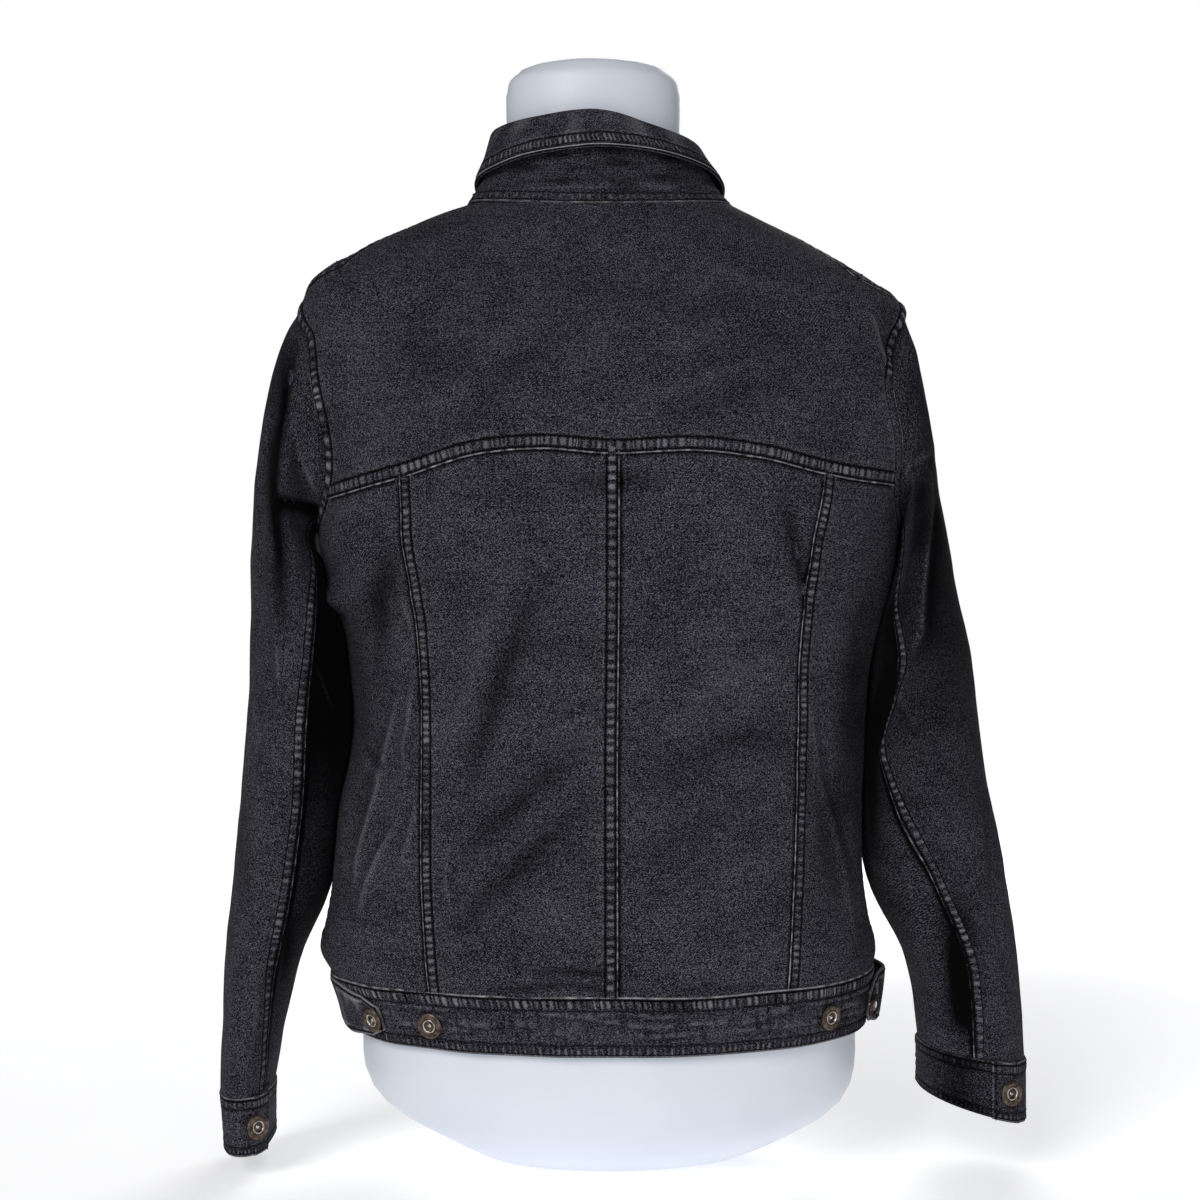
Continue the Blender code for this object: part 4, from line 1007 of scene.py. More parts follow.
def seam_relief(s, passed, rung, seed, strong, shows):
    """Height and paleness of a seam, and how much of each place is between its stitches.

    s is the place across it; its puckers are worn pale on top with painted shade in the gaps, and its
    folded edge is at SEAM_HALF, worn pale with a painted highlight, with a painted shadow just past it.
    """
    gather = (0.85 + 0.15 * np.sin(passed / 23.0 + 2 * seed)) * shows
    between = np.exp(-((s / 2.9) ** 6))
    row = bump(np.abs(s) - SEAM_ROW, 0.7)
    beside = bump(np.abs(s) - SEAM_HALF - 2.0, 1.8)
    runs_out = ease((np.abs(s) - SEAM_SHOULDER + 2.0) / 2.0)
    rise = 0.7 * cliff(SEAM_HALF - s, 0.1) * cliff(SEAM_HALF + s, 0.6)
    rise = rise + gather * rung * (0.6 * between + 0.15 * beside)
    rise += -0.45 * row - 0.12 * between + 0.1 * beside - 0.6 * runs_out
    cluster = 0.13 * wander(passed, seed + 50, 45.0) - 0.66
    # pucker tops worn pale, with painted shade in the gaps between them
    pale = strong * gather * (1.12 * rung + cluster) * between
    pale += beside * (0.2 * rung - 0.1) - 1.2 * row * np.minimum(gather * 2, 1)
    # a painted highlight along the worn folded edge
    glint = 0.7 + 0.45 * wander(passed, seed, 7.0)
    pale += glint * bumps(s, (1.25, SEAM_HALF - 0.15, 0.5), (0.15, -SEAM_HALF, 0.6))
    # and a painted shadow just past the folded edge
    return rise, pale - 1.2 * bump(s - SEAM_HALF - 0.8, 0.7), between


def seam(
    cloth, surface, line, period, seed, lap=1, uneven=0.4, wide=1.0, edge=False, strong=1.0, crown=1.0,
    shows=None, spacing=1.25, nudge=(1.0, 0.5),
):
    """A flat-felled seam along a line of the surface's two parameters.

    lap is the side of the folded edge: 1 is to the left of a line seen going down from outside. An
    edge seam lies on one panel alone, its fold just past the line. shows gives how far the puckers
    show at each first parameter. nudge is a small step of each parameter.
    """
    first, second = spaced(surface, *line, spacing / 2)
    run = lengths(surface(first, second)[0])
    puckers = rungs(run[-1], period, uneven, seed)
    passed = at_puckers(puckers, run[-1], int(np.ceil(period / spacing)))
    first, second = np.interp(passed, run, first), np.interp(passed, run, second)
    aside, move = across_line(surface, first, second, nudge)
    s = SEAM_ACROSS[SEAM_ACROSS <= SEAM_EDGE] if edge else SEAM_ACROSS
    reach = s * wide - (SEAM_HALF - EDGE_PROUD if edge else 0)
    held = lap * (np.minimum(reach, 0) if edge else reach)
    spots = first[:, None] + move[:, 0] * held, second[:, None] + move[:, 1] * held
    points, normal, uv, fade = surface(*spots)
    if edge:
        points = points + aside[:, None] * (lap * np.maximum(reach, 0))[:, None]
        points = points + normal * (EDGE_RISE * ease((s + SEAM_HALF) / 6))[:, None]
    normal = grid_normal(points, normal)
    rung = rung_height(passed[:, None] + 0 * s, puckers, crown)
    seen = shows(first)[:, None] if shows else 1.0
    rise, pale, between = seam_relief(s, passed[:, None], rung, seed, strong, seen)
    face = points + normal * rise[..., None]
    cloth.odd_shell(face, normal, SEAM_LAYER, uv, fade * (1 - between) + pale)
    for place in (-SEAM_ROW, SEAM_ROW):
        column = int(np.argmin(np.abs(s - place)))
        stitched(face[:, column], normal[:, column], 0.25)


def pad_odd(grid):
    """The grid with an odd number of rows and columns."""
    rows, columns = grid.shape[:2]
    keep_rows = np.r_[0:rows] if rows % 2 else np.r_[0 : rows - 2, rows - 1]
    keep_columns = np.r_[0:columns] if columns % 2 else np.r_[0 : columns - 2, columns - 1]
    return grid[keep_rows][:, keep_columns]


def evenly(surface, other, start, end, spacing, along=0):
    """Values of one parameter, the along-th, an even distance apart on the cloth."""
    dense, fixed = np.linspace(start, end, LINE_POINTS), np.full(LINE_POINTS, float(other))
    line = (dense, fixed) if along == 0 else (fixed, dense)
    return spaced(surface, *line, spacing)[along]


def panel(cloth, surface, rows, columns):
    """A sheet of plain cloth, its inner face coarser than its outer one."""
    points, normal, uv, fade = surface(rows[:, None], columns[None, :])
    cloth.shell(points, normal, CLOTH, uv, fade, every=4)


# ---------------------------------------------------------------- the cloth pieces

SMOOTH, FINE, COARSE = 2.5, 1.8, 4.2  # grid spacing on plain cloth, creased cloth and hidden cloth
WIDEST = 6  # the row, or a sleeve's step, along which the spacing of the other parameter is measured
YOKE_MIDDLE = 16  # that row of the yoke
UNDER_BAND = -0.1  # the row to which the panels run down inside the hem band
OVER_BAND = 0.05  # the row at which the seams above it start
BAND_RISE = 1.8  # how far the hem band has worked up
# Across the front: where the hem band's two ends are, and where the upper one starts to climb over
# the lower one and lies on it.
UNDER_END, OVER_END, LAP_START, LAP_FLAT = -12.0, 15.0, -36.0, -17.0
BAND_SWAY = 0.9  # how far it wavers in and out along its length
LABEL_SIDES = (33.5, -29.0)  # a box of stitches that holds a label on the inside
LABEL_HEIGHTS = (638.0, 655.0)


def sheet_piece(cloth, name, node, material):
    """The finished piece that stands for one solid."""
    item = cloth.piece(name, [node], material)


def hidden_low(height):
    """The right armhole's seam shows at the shoulder and is tucked under the fold lower down."""
    return ease((height - 538) / 14)


def build_back(denim):
    """Centre and side back panels and the yoke, with the seams that are felled onto each."""
    for label, side in BOTH:
        surface = back(side)
        rows = evenly(surface, 1.0, UNDER_BAND, YOKE_ROW, SMOOTH)
        centre, outer = Cloth(), Cloth()
        panel(centre, surface, rows, evenly(surface, WIDEST, 0, 1, SMOOTH, along=1))
        rows = evenly(surface, 1.0, UNDER_BAND, YOKE_ROW, FINE)
        panel(outer, surface, rows, evenly(surface, WIDEST, 1, 2, FINE, along=1))
        if side > 0:
            middle = back_line(side, 0, OVER_BAND, YOKE_ROW)
            seam(centre, torso, middle, period=6.2, seed=3, lap=-1, uneven=0.35, wide=1.12)
        seam(outer, torso, back_line(side, 1, OVER_BAND, YOKE_ROW), period=4.7, seed=5 + side, uneven=0.3)
        seam(outer, torso, back_line(side, 2, OVER_BAND, LOW_ROWS), period=6.0, seed=8 + side, spacing=2.4)
        sheet_piece(centre, f"centre_back_{label}", f"back_centre_{label}", denim)
        sheet_piece(outer, f"side_back_{label}", f"back_side_{label}", denim)
    top = Cloth()
    rows = evenly(back(1), 1.0, YOKE_ROW, TOP_ROW, SMOOTH)
    panel(top, yoke, rows, evenly(yoke, YOKE_MIDDLE, -2, 2, SMOOTH, along=1))
    across = yoke_place(YOKE_ROW, np.linspace(-1.985, 1.985, 900))
    seam(top, torso, across, period=4.2, seed=21, uneven=0.65, wide=1.25, crown=0.45)
    for side in (1, -1):
        arm = armhole(side, np.linspace(180, 0, LINE_POINTS))
        look = {"uneven": 0.6, "wide": 1.2, "strong": 1.4, "shows": {-1: hidden_low}.get(side)}
        seam(top, torso, arm, period=7.5, seed=23 + side, lap=side, edge=True, **look)
        seam(top, torso, back_line(side, 2, LOW_ROWS + ARM_ROWS, TOP_ROW), period=7.0, seed=26 + side)
    for x in LABEL_SIDES:
        heights = np.linspace(*LABEL_HEIGHTS, 20)
        points, normal = torso(heights, angle_at_x(heights, x))[:2]
        stitched(points, normal, 0.15)
    sheet_piece(top, "yoke", "back_yoke", denim)


def build_fronts(denim):
    """Plain fronts with their armhole seams, and the two plackets."""
    for label, side in BOTH:
        surface = front(side)
        cloth = Cloth()
        rows = evenly(surface, 0.5, UNDER_BAND, TOP_ROW, COARSE)
        panel(cloth, surface, rows, evenly(surface, WIDEST, 0, 1, COARSE, along=1))
        arm = armhole(side, np.linspace(180, 360, LINE_POINTS))
        seam(cloth, torso, arm, period=5.5, seed=41 + side, lap=-side, edge=True, spacing=2.0)
        sheet_piece(cloth, f"front_panel_{label}", f"front_{label}", denim)
    half = PLACKET_WIDTH / 2
    for name, node, low, high, lift in (
        ("under_placket", "placket_left", half - GAP, 2 - half, 0.0),
        ("button_placket", "placket_right", half - 2, -half - 4, PLACKET_LIFT),
    ):

        def surface(row, x, lift=lift):
            row, x = together(row, x)
            height = side_height(row)
            return torso(height, angle_at_x(height, x, front=True) % 360, lift, calm=0.4)

        cloth = Cloth()
        rows = evenly(surface, 0.0, 0, TOP_ROW, 1.8)
        across = np.linspace(low, high, 25)
        points, normal, uv, fade = surface(rows[:, None], across[None, :])
        inside = np.minimum(np.abs(across - low), np.abs(across - high))[None, :]
        points += normal * bumps(inside, (-0.5, 0, 0.9), (-0.3, 2.4, 0.8))[..., None]
        fade = fade + bumps(inside, (0.35, 0.6, 0.8), (-0.6, 2.4, 0.7))
        cloth.shell(points, normal, CLOTH, uv, fade)
        for column in (2, -3, 5, -6) if lift else ():
            stitched(points[:, column], normal[:, column])
        sheet_piece(cloth, name, node, denim)


def band_levels(height):
    """Levels up a doubled band, closest at its edges and along its rows of stitches."""
    edge = np.array([0, 0.35, 0.7, 1.05, 1.4, 1.8, 2.2, 2.6, 3.1, 3.8])
    return np.concatenate([edge, np.linspace(5.0, height - 5.0, 21), (height - edge)[::-1]])


def gathered(across, level, height, seed, top=9.0, foot=7.5, slack=1.0):
    """Relief and paleness of a doubled band: gathered strips along both edges and slack cloth between,
    worn pale on the puckers' tops, with painted shade in their gaps and in the slack cloth's folds, and a
    painted highlight along the top edge.
    """
    up, down = height - level, level
    span = float(np.ptp(across)) + 40
    shifted = across - across.min() + 12
    rung = rung_height(shifted, rungs(span, 3.4, 0.6, seed), 0.5)
    low_rung = rung_height(shifted, rungs(span, 3.6, 0.4, seed + 1))
    strip = ease((top - up) / 1.5) * ease((up - 1.4) / 1.2)
    low_strip = ease((foot - down) / 1.5) * ease((down - 1.2) / 1.2)
    between = ease((up - top + 1) / 3) * ease((down - foot + 1) / 3)
    loose = ease(0.55 + 0.8 * wander(across, seed + 3, 150.0))
    puckers = ripple(across, level * 0.25, seed, 5.0)
    folds = 0.0
    for i, at in enumerate((0.34, 0.5, 0.66)):
        away = level - at * height - 2.2 * wander(across, seed + 4 + i, 40.0)
        shows = ease(0.5 + 1.3 * wander(across, seed + 14 + i, 70.0))
        folds = folds + shows * bumps(away, (1, 1.6, 1.5), (-1.1, -0.3, 1.1))
    middle = between * ((0.25 + 0.35 * loose) * puckers + (0.7 + 0.5 * loose) * folds)
    rows = bumps(up, (1, 2.2, 0.5), (1, top, 0.8)) + bumps(down, (1, foot, 0.8), (0.7, 1.8, 0.5))
    edge = bump(np.minimum(up, down), 0.6)
    rise = 0.8 * rung * strip + 0.4 * low_rung * low_strip + 0.9 * slack * middle - 0.5 * rows - 0.7 * edge
    cluster = 0.25 * wander(across, seed + 8, 50.0)
    # Pucker tops worn pale, with painted shade in the gaps between them.
    fade = strip * (0.2 + 0.8 * slack) * (1.9 * rung - 1.3 + cluster) + low_strip * (0.95 * low_rung - 0.6)
    # Painted shade in the folds and puckers of the slack cloth.
    fade += slack * between * (np.clip(0.5 * folds, -0.7, 0.1) + np.clip(0.3 * puckers, -0.35, 0.02))
    # A painted highlight along the top edge.
    glint = 0.65 + 0.6 * wander(across, seed + 12, 11.0)
    fade += (0.4 + 0.6 * slack) * glint * bump(up - 0.7, 0.45)
    return rise, fade - 0.6 * bump(up - 2.2, 0.5) + 0.4 * bump(down - 0.8, 0.6) - 0.7 * rows


def build_waistband(denim):
    """The hem band, lapped at the front like the plackets above it."""

    def far(x):
        return float(angle_at_x(WAIST_SEAM, x, front=True) % 360)

    pieces = (
        ("hem_band_back", "waistband_back", 90.0, -90.0, 0.0, 61),
        ("hem_band_left", "waistband_front_left", 90.0, far(UNDER_END), 0.0, 63),
        ("hem_band_right", "waistband_front_right", 270.0, far(OVER_END), OVER, 65),
    )
    lap, flat = far(LAP_START), far(LAP_FLAT)
    for name, node, start, end, over, seed in pieces:
        step = 0.85 if "back" in name else 2.0
        count = 2 * int(abs(girth(end) - girth(start)) / step / 2) + 1
        angles = np.linspace(start, end, count)
        levels = band_levels(WAIST_SEAM - HEM)
        level, angle = np.meshgrid(levels, angles, indexing="ij")
        ride = over * ease((lap - angle) / (lap - flat)) if over else 0.0
        points, normal, uv, _ = torso(HEM + BAND_RISE + level, angle, BAND_PROUD + ride, calm=0.0)
        rise, fade = gathered(uv[..., 0], level, WAIST_SEAM - HEM, seed)
        sway = BAND_SWAY * ripple(uv[..., 0], level * 0.3, seed + 9, 70.0)
        points = points + normal * (rise + sway)[..., None]
        points[..., 2] += 1.1 * ripple(uv[..., 0], 0 * level, seed + 7, 90.0) * (levels / 40)[:, None]
        cloth = Cloth()
        cloth.shell(points, normal, BAND - 0.5, uv, fade)
        stitched_rows(points, normal, levels, (1.7, 7.5, 31.0, 38.3))
        sheet_piece(cloth, name, node, denim)


def collar_path(angle):
    """The collar's path, out and up from the neck seam: points of (out, up)."""
    stand, lean, fall, flare = (
        smooth(angle, COLLAR["angle"], COLLAR[name]) for name in "stand lean fall flare".split()
    )
    turn = COLLAR_ROLL
    path = (
        (0 * lean, GAP + 0 * lean),
        (-0.45 * lean, 0.34 * stand),
        (-0.76 * lean, 0.7 * stand),
        (-lean, stand - turn),
        (-lean + turn, stand + 0 * lean),
        (-lean + 2 * turn, stand - turn),
        (-lean + 0.5 * flare + turn, stand - 0.55 * fall),
        (-lean + flare + turn, stand - fall),
    )
    return np.array([np.stack(point, axis=-1) for point in path])


def collar_surface(angle, place, lift):
    """Points on the collar: place runs from 0 at the neck seam to 7 at the edge of the fall."""
    knots = np.arange(8.0)
    route = collar_path(angle.ravel())

    def along(offset):
        return smooth(place.ravel() + offset, knots, route, each=True).reshape(angle.shape + (2,))

    path = along(0.0)
    slope = unit(along(SLOPE_STEP) - along(-SLOPE_STEP))
    side = np.stack([-slope[..., 1], slope[..., 0]], axis=-1)
    moved = path + np.asarray(lift)[..., None] * side
    base = body_smooth(np.full(angle.shape, NECK_SEAM), angle)
    row = read(BODY, NECK_SEAM)
    out = unit((base - np.array([row["centre_x"], row["side_y"], 0])) * (1, 1, 0))
    high = np.clip(path[..., 1] / route[4, :, 1].reshape(angle.shape), 0, 1)
    up = np.array([0, 0, 1.0])
    points = base + moved[..., :1] * out + moved[..., 1:] * up + high[..., None] * (COLLAR_SHIFT, 0, 0)
    return points, side[..., :1] * out + side[..., 1:] * up


def collar_grid(fine):
    """Angles round the collar and places up it, close together behind the neck and at the lip."""
    side = np.linspace(COLLAR_BACK, COLLAR_END, 48)[1:]
    middle = np.linspace(COLLAR_BACK, -COLLAR_BACK, 281 if fine else 141)
    angles = np.concatenate([side[::-1], middle, -side])
    if fine:
        lip = [np.linspace(5, 6.66, 21)[:-1], np.linspace(6.66, 7, 15)]
    else:
        lip = [np.linspace(5, 7, 13)]
    foot = [np.linspace(0, 0.4, 3 if fine else 13)[:-1], np.linspace(0.4, 3, 7 if fine else 21)[:-1]]
    places = np.concatenate([*foot, np.linspace(3, 5, 13)[:-1], *lip])
    return np.meshgrid(places, angles, indexing="ij")


def collar_lines(points, facing, from_edge, distances):
    """Rows of stitches at distances from an edge of the collar."""
    columns = np.arange(points.shape[1])
    for at in distances:
        rows = np.argmin(np.abs(from_edge - at), axis=0)
        stitched(points[rows, columns], facing[rows, columns])


def collar_measure(place, angle):
    """Distances round the collar, up from the neck seam and on to the lip."""
    line, _ = collar_surface(angle, place, np.zeros(angle.shape))
    steps = np.linalg.norm(np.diff(line, axis=0), axis=2)
    passed = np.concatenate([np.zeros((1, angle.shape[1])), np.cumsum(steps, axis=0)])
    around = np.broadcast_to(lengths(line[-1]), angle.shape)
    wave = 1.3 * ripple(around, passed * 0.4, 71, 90.0) * ease((place - 4.5) / 2)
    return around, passed, passed[-1] - passed, wave


COLLAR_CLOTH = 0.9  # each of the collar's two layers
FALL_LIFT = 2.6  # how far the top collar lies over the undercollar
# Dark and pale lines beside the lip: strength, place and half width.
LIP_TONES = ((-1.2, 0, 0.5), (1.1, 1.0, 0.4), (-0.9, 1.9, 0.4), (0.2, 2.6, 0.4), (0.15, 12.0, 0.9))
LIP_ROW = 3.2  # how far from the lip its strip of gathers starts, and then where its stitches lie
LIP_STITCHES = 10.6
NECK_ROW = 2.6  # the stitches that join the stand to the neck, and a fainter row above them
NECK_ROW_ABOVE = 8.5


def build_top_collar(denim):
    """The top collar, turned down over the other and gathered along its lip."""
    place, angle = collar_grid(fine=True)
    around, passed, left, wave = collar_measure(place, angle)
    rung = rung_height(around + 0.6 * np.sin(left), rungs(around.max() + 20, 3.1, 0.35, 72), 1.0)
    strip = ease((left - LIP_ROW) / 0.8) * ease((10.4 - left) / 1.6)
    rows = bumps(left, (1, LIP_ROW, 0.45), (1, LIP_STITCHES, 0.7))
    close = 0.4 * ease((6.0 - left) / 6.0)  # the two layers come together at the lip
    lift = FALL_LIFT - close + wave + 0.5 * rung * strip - 0.4 * rows
    lift += bumps(left, (0.3, 13, 2.5), (-0.6, 0, 0.6))
    points, facing = collar_surface(angle, place, lift)
    # Gathers along the lip, worn pale on top with painted shade in the gaps, and dark stitch rows.
    fade = strip * (1.3 * rung - 0.8) - 0.8 * rows
    fade += bumps(left, *LIP_TONES)
    fade += 0.2 * bump(place - 4, 0.5) + 0.12 * ripple(around, passed, 75, 30.0)
    cloth = Cloth()
    cloth.odd_shell(points, facing, COLLAR_CLOTH, np.stack([around, passed], axis=-1), fade)
    collar_lines(points, facing, left, (LIP_STITCHES,))
    sheet_piece(cloth, "collar_top", "top_collar", denim)


def build_undercollar(denim):
    """The undercollar, with the stand behind the neck."""
    place, angle = collar_grid(fine=False)
    around, passed, left, wave = collar_measure(place, angle)
    neck_rows = bumps(passed, (1, NECK_ROW, 0.7), (0.6, NECK_ROW_ABOVE, 0.8))
    neck = ease((NECK_ROW_ABOVE - passed) / 1.5) * ease((passed - NECK_ROW) / 1.0)
    rung = rung_height(around, rungs(around.max() + 20, 6.0, 0.6, 73))
    stand = ease((3.2 - place) / 1.0)
    wrinkle = 0.6 * ripple(around / 6.0, passed, 74, 8.0) * stand * ease((passed - 9) / 4)
    under = wave * 0.9 + 0.25 * rung * neck + wrinkle - 0.4 * neck_rows
    points, facing = collar_surface(angle, place, np.where(place < 4, -under, wave))
    # Gathers by the neck seam, worn pale on top with painted shade in the gaps.
    fade = neck * (0.45 * rung - 0.25) - 0.6 * neck_rows
    fade += (0.35 + 0.25 * wander(around, 76, 9.0)) * bump(passed - 1.6, 0.9)
    # Painted shade in the wrinkles of the stand.
    fade += np.clip(0.9 * wrinkle, -0.5, 0.08) + 0.9 * bump(left - 0.9, 0.7)
    # Painted shade up the stand, under the collar's fall.
    fade -= 0.25 * stand * ease((passed - 12) / 8)
    cloth = Cloth()
    cloth.odd_shell(points, -facing, COLLAR_CLOTH, np.stack([around, passed], axis=-1), fade)
    collar_lines(points, -facing, passed, (NECK_ROW, NECK_ROW_ABOVE))
    sheet_piece(cloth, "collar_under", "undercollar", denim)


def build_sleeves(denim):
    """Each sleeve's top and under piece, felled along the back seam and the inside seam."""
    for label in SLEEVES:
        surface, side = sleeve(label), SLEEVES[label][0]
        rings = evenly(surface, WIDEST, 0, SLEEVE_END, FINE)
        down = np.linspace(0.15, SLEEVE_END, LINE_POINTS)
        over, under = Cloth(), Cloth()
        start = FRONT_SEAM_STEP - SLEEVE_STEPS
        hidden = evenly(surface, WIDEST, start, SLEEVE_SEEN, COARSE, along=1)[:-1]
        seen = evenly(surface, WIDEST, SLEEVE_SEEN, BACK_SEAM_STEP, FINE, along=1)
        panel(over, surface, rings, np.concatenate([hidden, seen]))
        below = evenly(surface, WIDEST, BACK_SEAM_STEP, FRONT_SEAM_STEP, FINE, along=1)
        panel(under, surface, rings, below)
        for cloth, step, period, spacing in (
            (over, BACK_SEAM_STEP, 5.2, 1.3),
            (under, FRONT_SEAM_STEP, 6.0, 2.4),
        ):
            line = (down, np.full(LINE_POINTS, float(step)))
            seam(cloth, surface, line, period, 80 + step, lap=side, spacing=spacing, nudge=(0.02, 0.06))
        sheet_piece(over, f"sleeve_upper_{label}", f"sleeve_top_{label}", denim)
        sheet_piece(under, f"sleeve_lower_{label}", f"sleeve_under_{label}", denim)


def cuff_step(label, turn):
    """The sleeve's grid step at a turn round its cuff."""
    rows = SLEEVES[label][1]
    knots = (0, rows["back_seam"][-1], rows["front_seam"][-1], 360)
    return np.interp(np.mod(turn, 360), knots, (0, BACK_SEAM_STEP, FRONT_SEAM_STEP, SLEEVE_STEPS))


def cuff_surface(label, turn, level):
    """A cuff's outer face: turn runs on past 360 where it laps, level is 0 above and 1 below."""
    side = SLEEVES[label][0]
    end, _, drop, narrow = CUFFS[label]
    plain = sleeve_smooth(label)
    edge = plain(SLEEVE_END, cuff_step(label, turn))
    middle = plain(SLEEVE_END, np.arange(0.0, SLEEVE_STEPS)).mean(axis=0)
    out = (edge - middle) * (1, 1, 0)
    reach = np.linalg.norm(out, axis=-1)
    aside = side * out[..., 0]
    ride = OVER * ease((turn - end - 360 + CUFF_LAP + CUFF_RAMP) / CUFF_RAMP)
    facing = out / reach[..., None]
    points = edge + facing * (CUFF_PROUD + ride)[..., None]
    points[..., 0] -= side * narrow * level * (aside + reach / 2)
    points[..., 2] -= GAP + level * (CUFF_HEIGHT + drop * aside)
    return points, facing


def build_cuffs(denim):
    """Doubled cuffs, open at the lap and stitched round it."""
    for label in SLEEVES:
        end = CUFFS[label][0]
        turns = np.linspace(end - CUFF_LAP, end + 360, CUFF_COLUMNS)
        levels = (1 - band_levels(CUFF_HEIGHT) / CUFF_HEIGHT)[::-1]
        level, turn = np.meshgrid(levels, turns, indexing="ij")
        points, facing = cuff_surface(label, turn, level)
        along = lengths(points[len(levels) // 2])
        around = np.broadcast_to(along, level.shape)
        up = (1 - level) * CUFF_HEIGHT
        rise, fade = gathered(around, up, CUFF_HEIGHT, 91, top=8.0, foot=6.0, slack=0.45)
        tip = (along[-1] - along)[None, :]
        rise = rise - 0.6 * bump(tip, 1.0)
        fade = fade + bumps(tip, (0.35, 0.7, 0.8), (-0.6, 2.6, 0.6))
        # Painted shade of the right sleeve's hollow, carried on down its cuff.
        if label == "right":
            fade = fade - 0.8 * bump(points[..., 0] + CUFF_SHADE_X, 18) * ease(facing[..., 1] * 3)
        # The painted shade and highlights, with the wear, are weaker on the cuff's front half.
        fade = fade * (0.55 + 0.45 * ease(1 + 2 * facing[..., 1]))
        points = points + facing * (rise * 0.8)[..., None]
        uv = np.stack([around, up], axis=-1)
        cloth = Cloth()
        cloth.shell(points, facing, BAND - 0.4, uv, fade)
        stitched_rows(points, facing, levels * CUFF_HEIGHT, (1.7, 8.0, 34.0, 38.3))
        column = int(np.argmin(np.abs(tip[0] - 2.6)))
        stitched(points[2:-2, column], facing[2:-2, column])
        sheet_piece(cloth, f"cuff_band_{label}", f"cuff_{label}", denim)


def band_place(distance, side):
    """Angle on the waistband at a distance from its side seam, positive towards the back."""
    angles = side * np.linspace(150, 20, LINE_POINTS)
    points = body_smooth(np.full(LINE_POINTS, BAND_MIDDLE), angles)
    length = lengths(points)
    length -= np.interp(-90.0, -np.abs(angles), length)
    return np.interp(distance, length, angles)


def build_tabs(denim):
    """Waist tabs with a pointed end, stitched round the edge."""
    for label, (start, end, stand_off, lifted) in TABS.items():
        side = SLEEVES[label][0]
        part, level = np.meshgrid(np.linspace(0, 1, 73), np.linspace(-1, 1, 27))
        angle = band_place(start + part * (end - start), side)
        loop = np.sin(np.pi * np.clip(part / TAB_LOOP, 0, 1)) ** 2
        lift = BAND_PROUD + GAP + BAND + 0.5 + stand_off * loop
        half = TAB_HEIGHT / 2 - TAB_POINT * np.clip((part - TAB_TIP) / (1 - TAB_TIP), 0, 1)
        points, normal, _, _ = torso(BAND_MIDDLE + level * half, angle, lift, calm=0.0)
        points[..., 2] += lifted * (1 - part) ** 1.5 * (1 + level) / 2
        points[..., 2] -= 1.2 * np.sin(part * 9) * (part > 0.35) * level
        length = abs(end - start)
        uv = np.stack([part * length, level * half], axis=-1)
        rim = np.minimum((1 - np.abs(level)) * half, (1 - part) * length)
        buckle = 1.4 * ripple(part * length, level * half * 0.6, 95 + side, 20.0) * ease(rim / 6)
        rise = buckle + bumps(rim, (-0.8, 0, 1.0), (-0.45, 2.6, 0.7))
        # Paler on the buckles' crests, as worn, and darker in their dips, as painted shade; a pale rim and
        # a dark stitch line.
        fade = 0.35 * buckle + bumps(rim, (0.8, 0.7, 0.8), (-0.8, 2.6, 0.7), (0.4, 4.5, 1.2))
        points = points + normal * rise[..., None]
        cloth = Cloth()
        cloth.shell(points, normal, BAND - 0.6, uv, fade)
        for line in (np.s_[2, :-2], np.s_[-3, :-2], np.s_[2:-2, -3]):
            stitched(points[line], normal[line])
        sheet_piece(cloth, f"side_tab_{label}", f"tab_{label}", denim)


# ---------------------------------------------------------------- form, buttons, thread


FORM_STEPS = 80
FORM_RINGS = ((0, 26, 12), (26, 750, 64), (750, 773.6, 12))  # from one height to another, how many


def build_form(shell):
    """The dress form, whole and smooth, closed above the neck and below."""
    heights = np.unique(np.concatenate([np.linspace(*stretch) for stretch in FORM_RINGS]))
    angles = np.arange(FORM_STEPS) * 360.0 / FORM_STEPS
    height, angle = np.meshgrid(heights, angles, indexing="ij")
    points = section_point(FORM, height, angle)
    ring = np.arange(points.shape[0] * FORM_STEPS).reshape(-1, FORM_STEPS)
    ring = np.column_stack([ring, ring[:, 0]])
    caps = [points[0].mean(axis=0), points[-1].mean(axis=0)]
    total = points.shape[0] * FORM_STEPS
    foot = np.stack([ring[0, :-1], np.full(FORM_STEPS, total), ring[0, 1:]], axis=-1)
    top = np.stack([ring[-1, 1:], np.full(FORM_STEPS, total + 1), ring[-1, :-1]], axis=-1)
    everything = np.concatenate([points.reshape(-1, 3), caps])
    mesh = new_mesh("dress_form", everything * MM, [quads(ring)[:, ::-1], foot, top])
    finish_piece("dress_form", mesh, ["form"], shell)


# Profiles turned round a button's axis, as radius and height. The face is a dished back and a flat
# ring rounded off at both edges; the rim is the bright eyelet inside it, its sunk floor and the nub.
BUTTON_FACE = (
    ((0.0, 0.3), (4.0, 0.3), (4.0, 2.3), (7.9, 2.3), (8.5, 2.8), (8.6, 3.3), (8.2, 3.75), (7.4, 3.95))
    + ((6.2, 3.95), (5.2, 3.85), (4.7, 3.6), (4.55, 3.2))
)
BUTTON_RIM = (
    ((4.55, 3.2), (4.5, 3.75), (4.2, 3.95), (3.8, 3.85), (3.55, 3.4), (3.45, 1.9), (1.5, 1.8))
    + ((1.4, 2.7), (1.0, 3.1), (0.0, 3.25))
)
RIM_RADIUS = 4.6
FLOOR_RADIUS = 3.4  # inside it the metal is dark but for the nub
NUB_RADIUS = 1.5
FLOOR_HEIGHT = 2.0
BUTTON_STEPS = 40


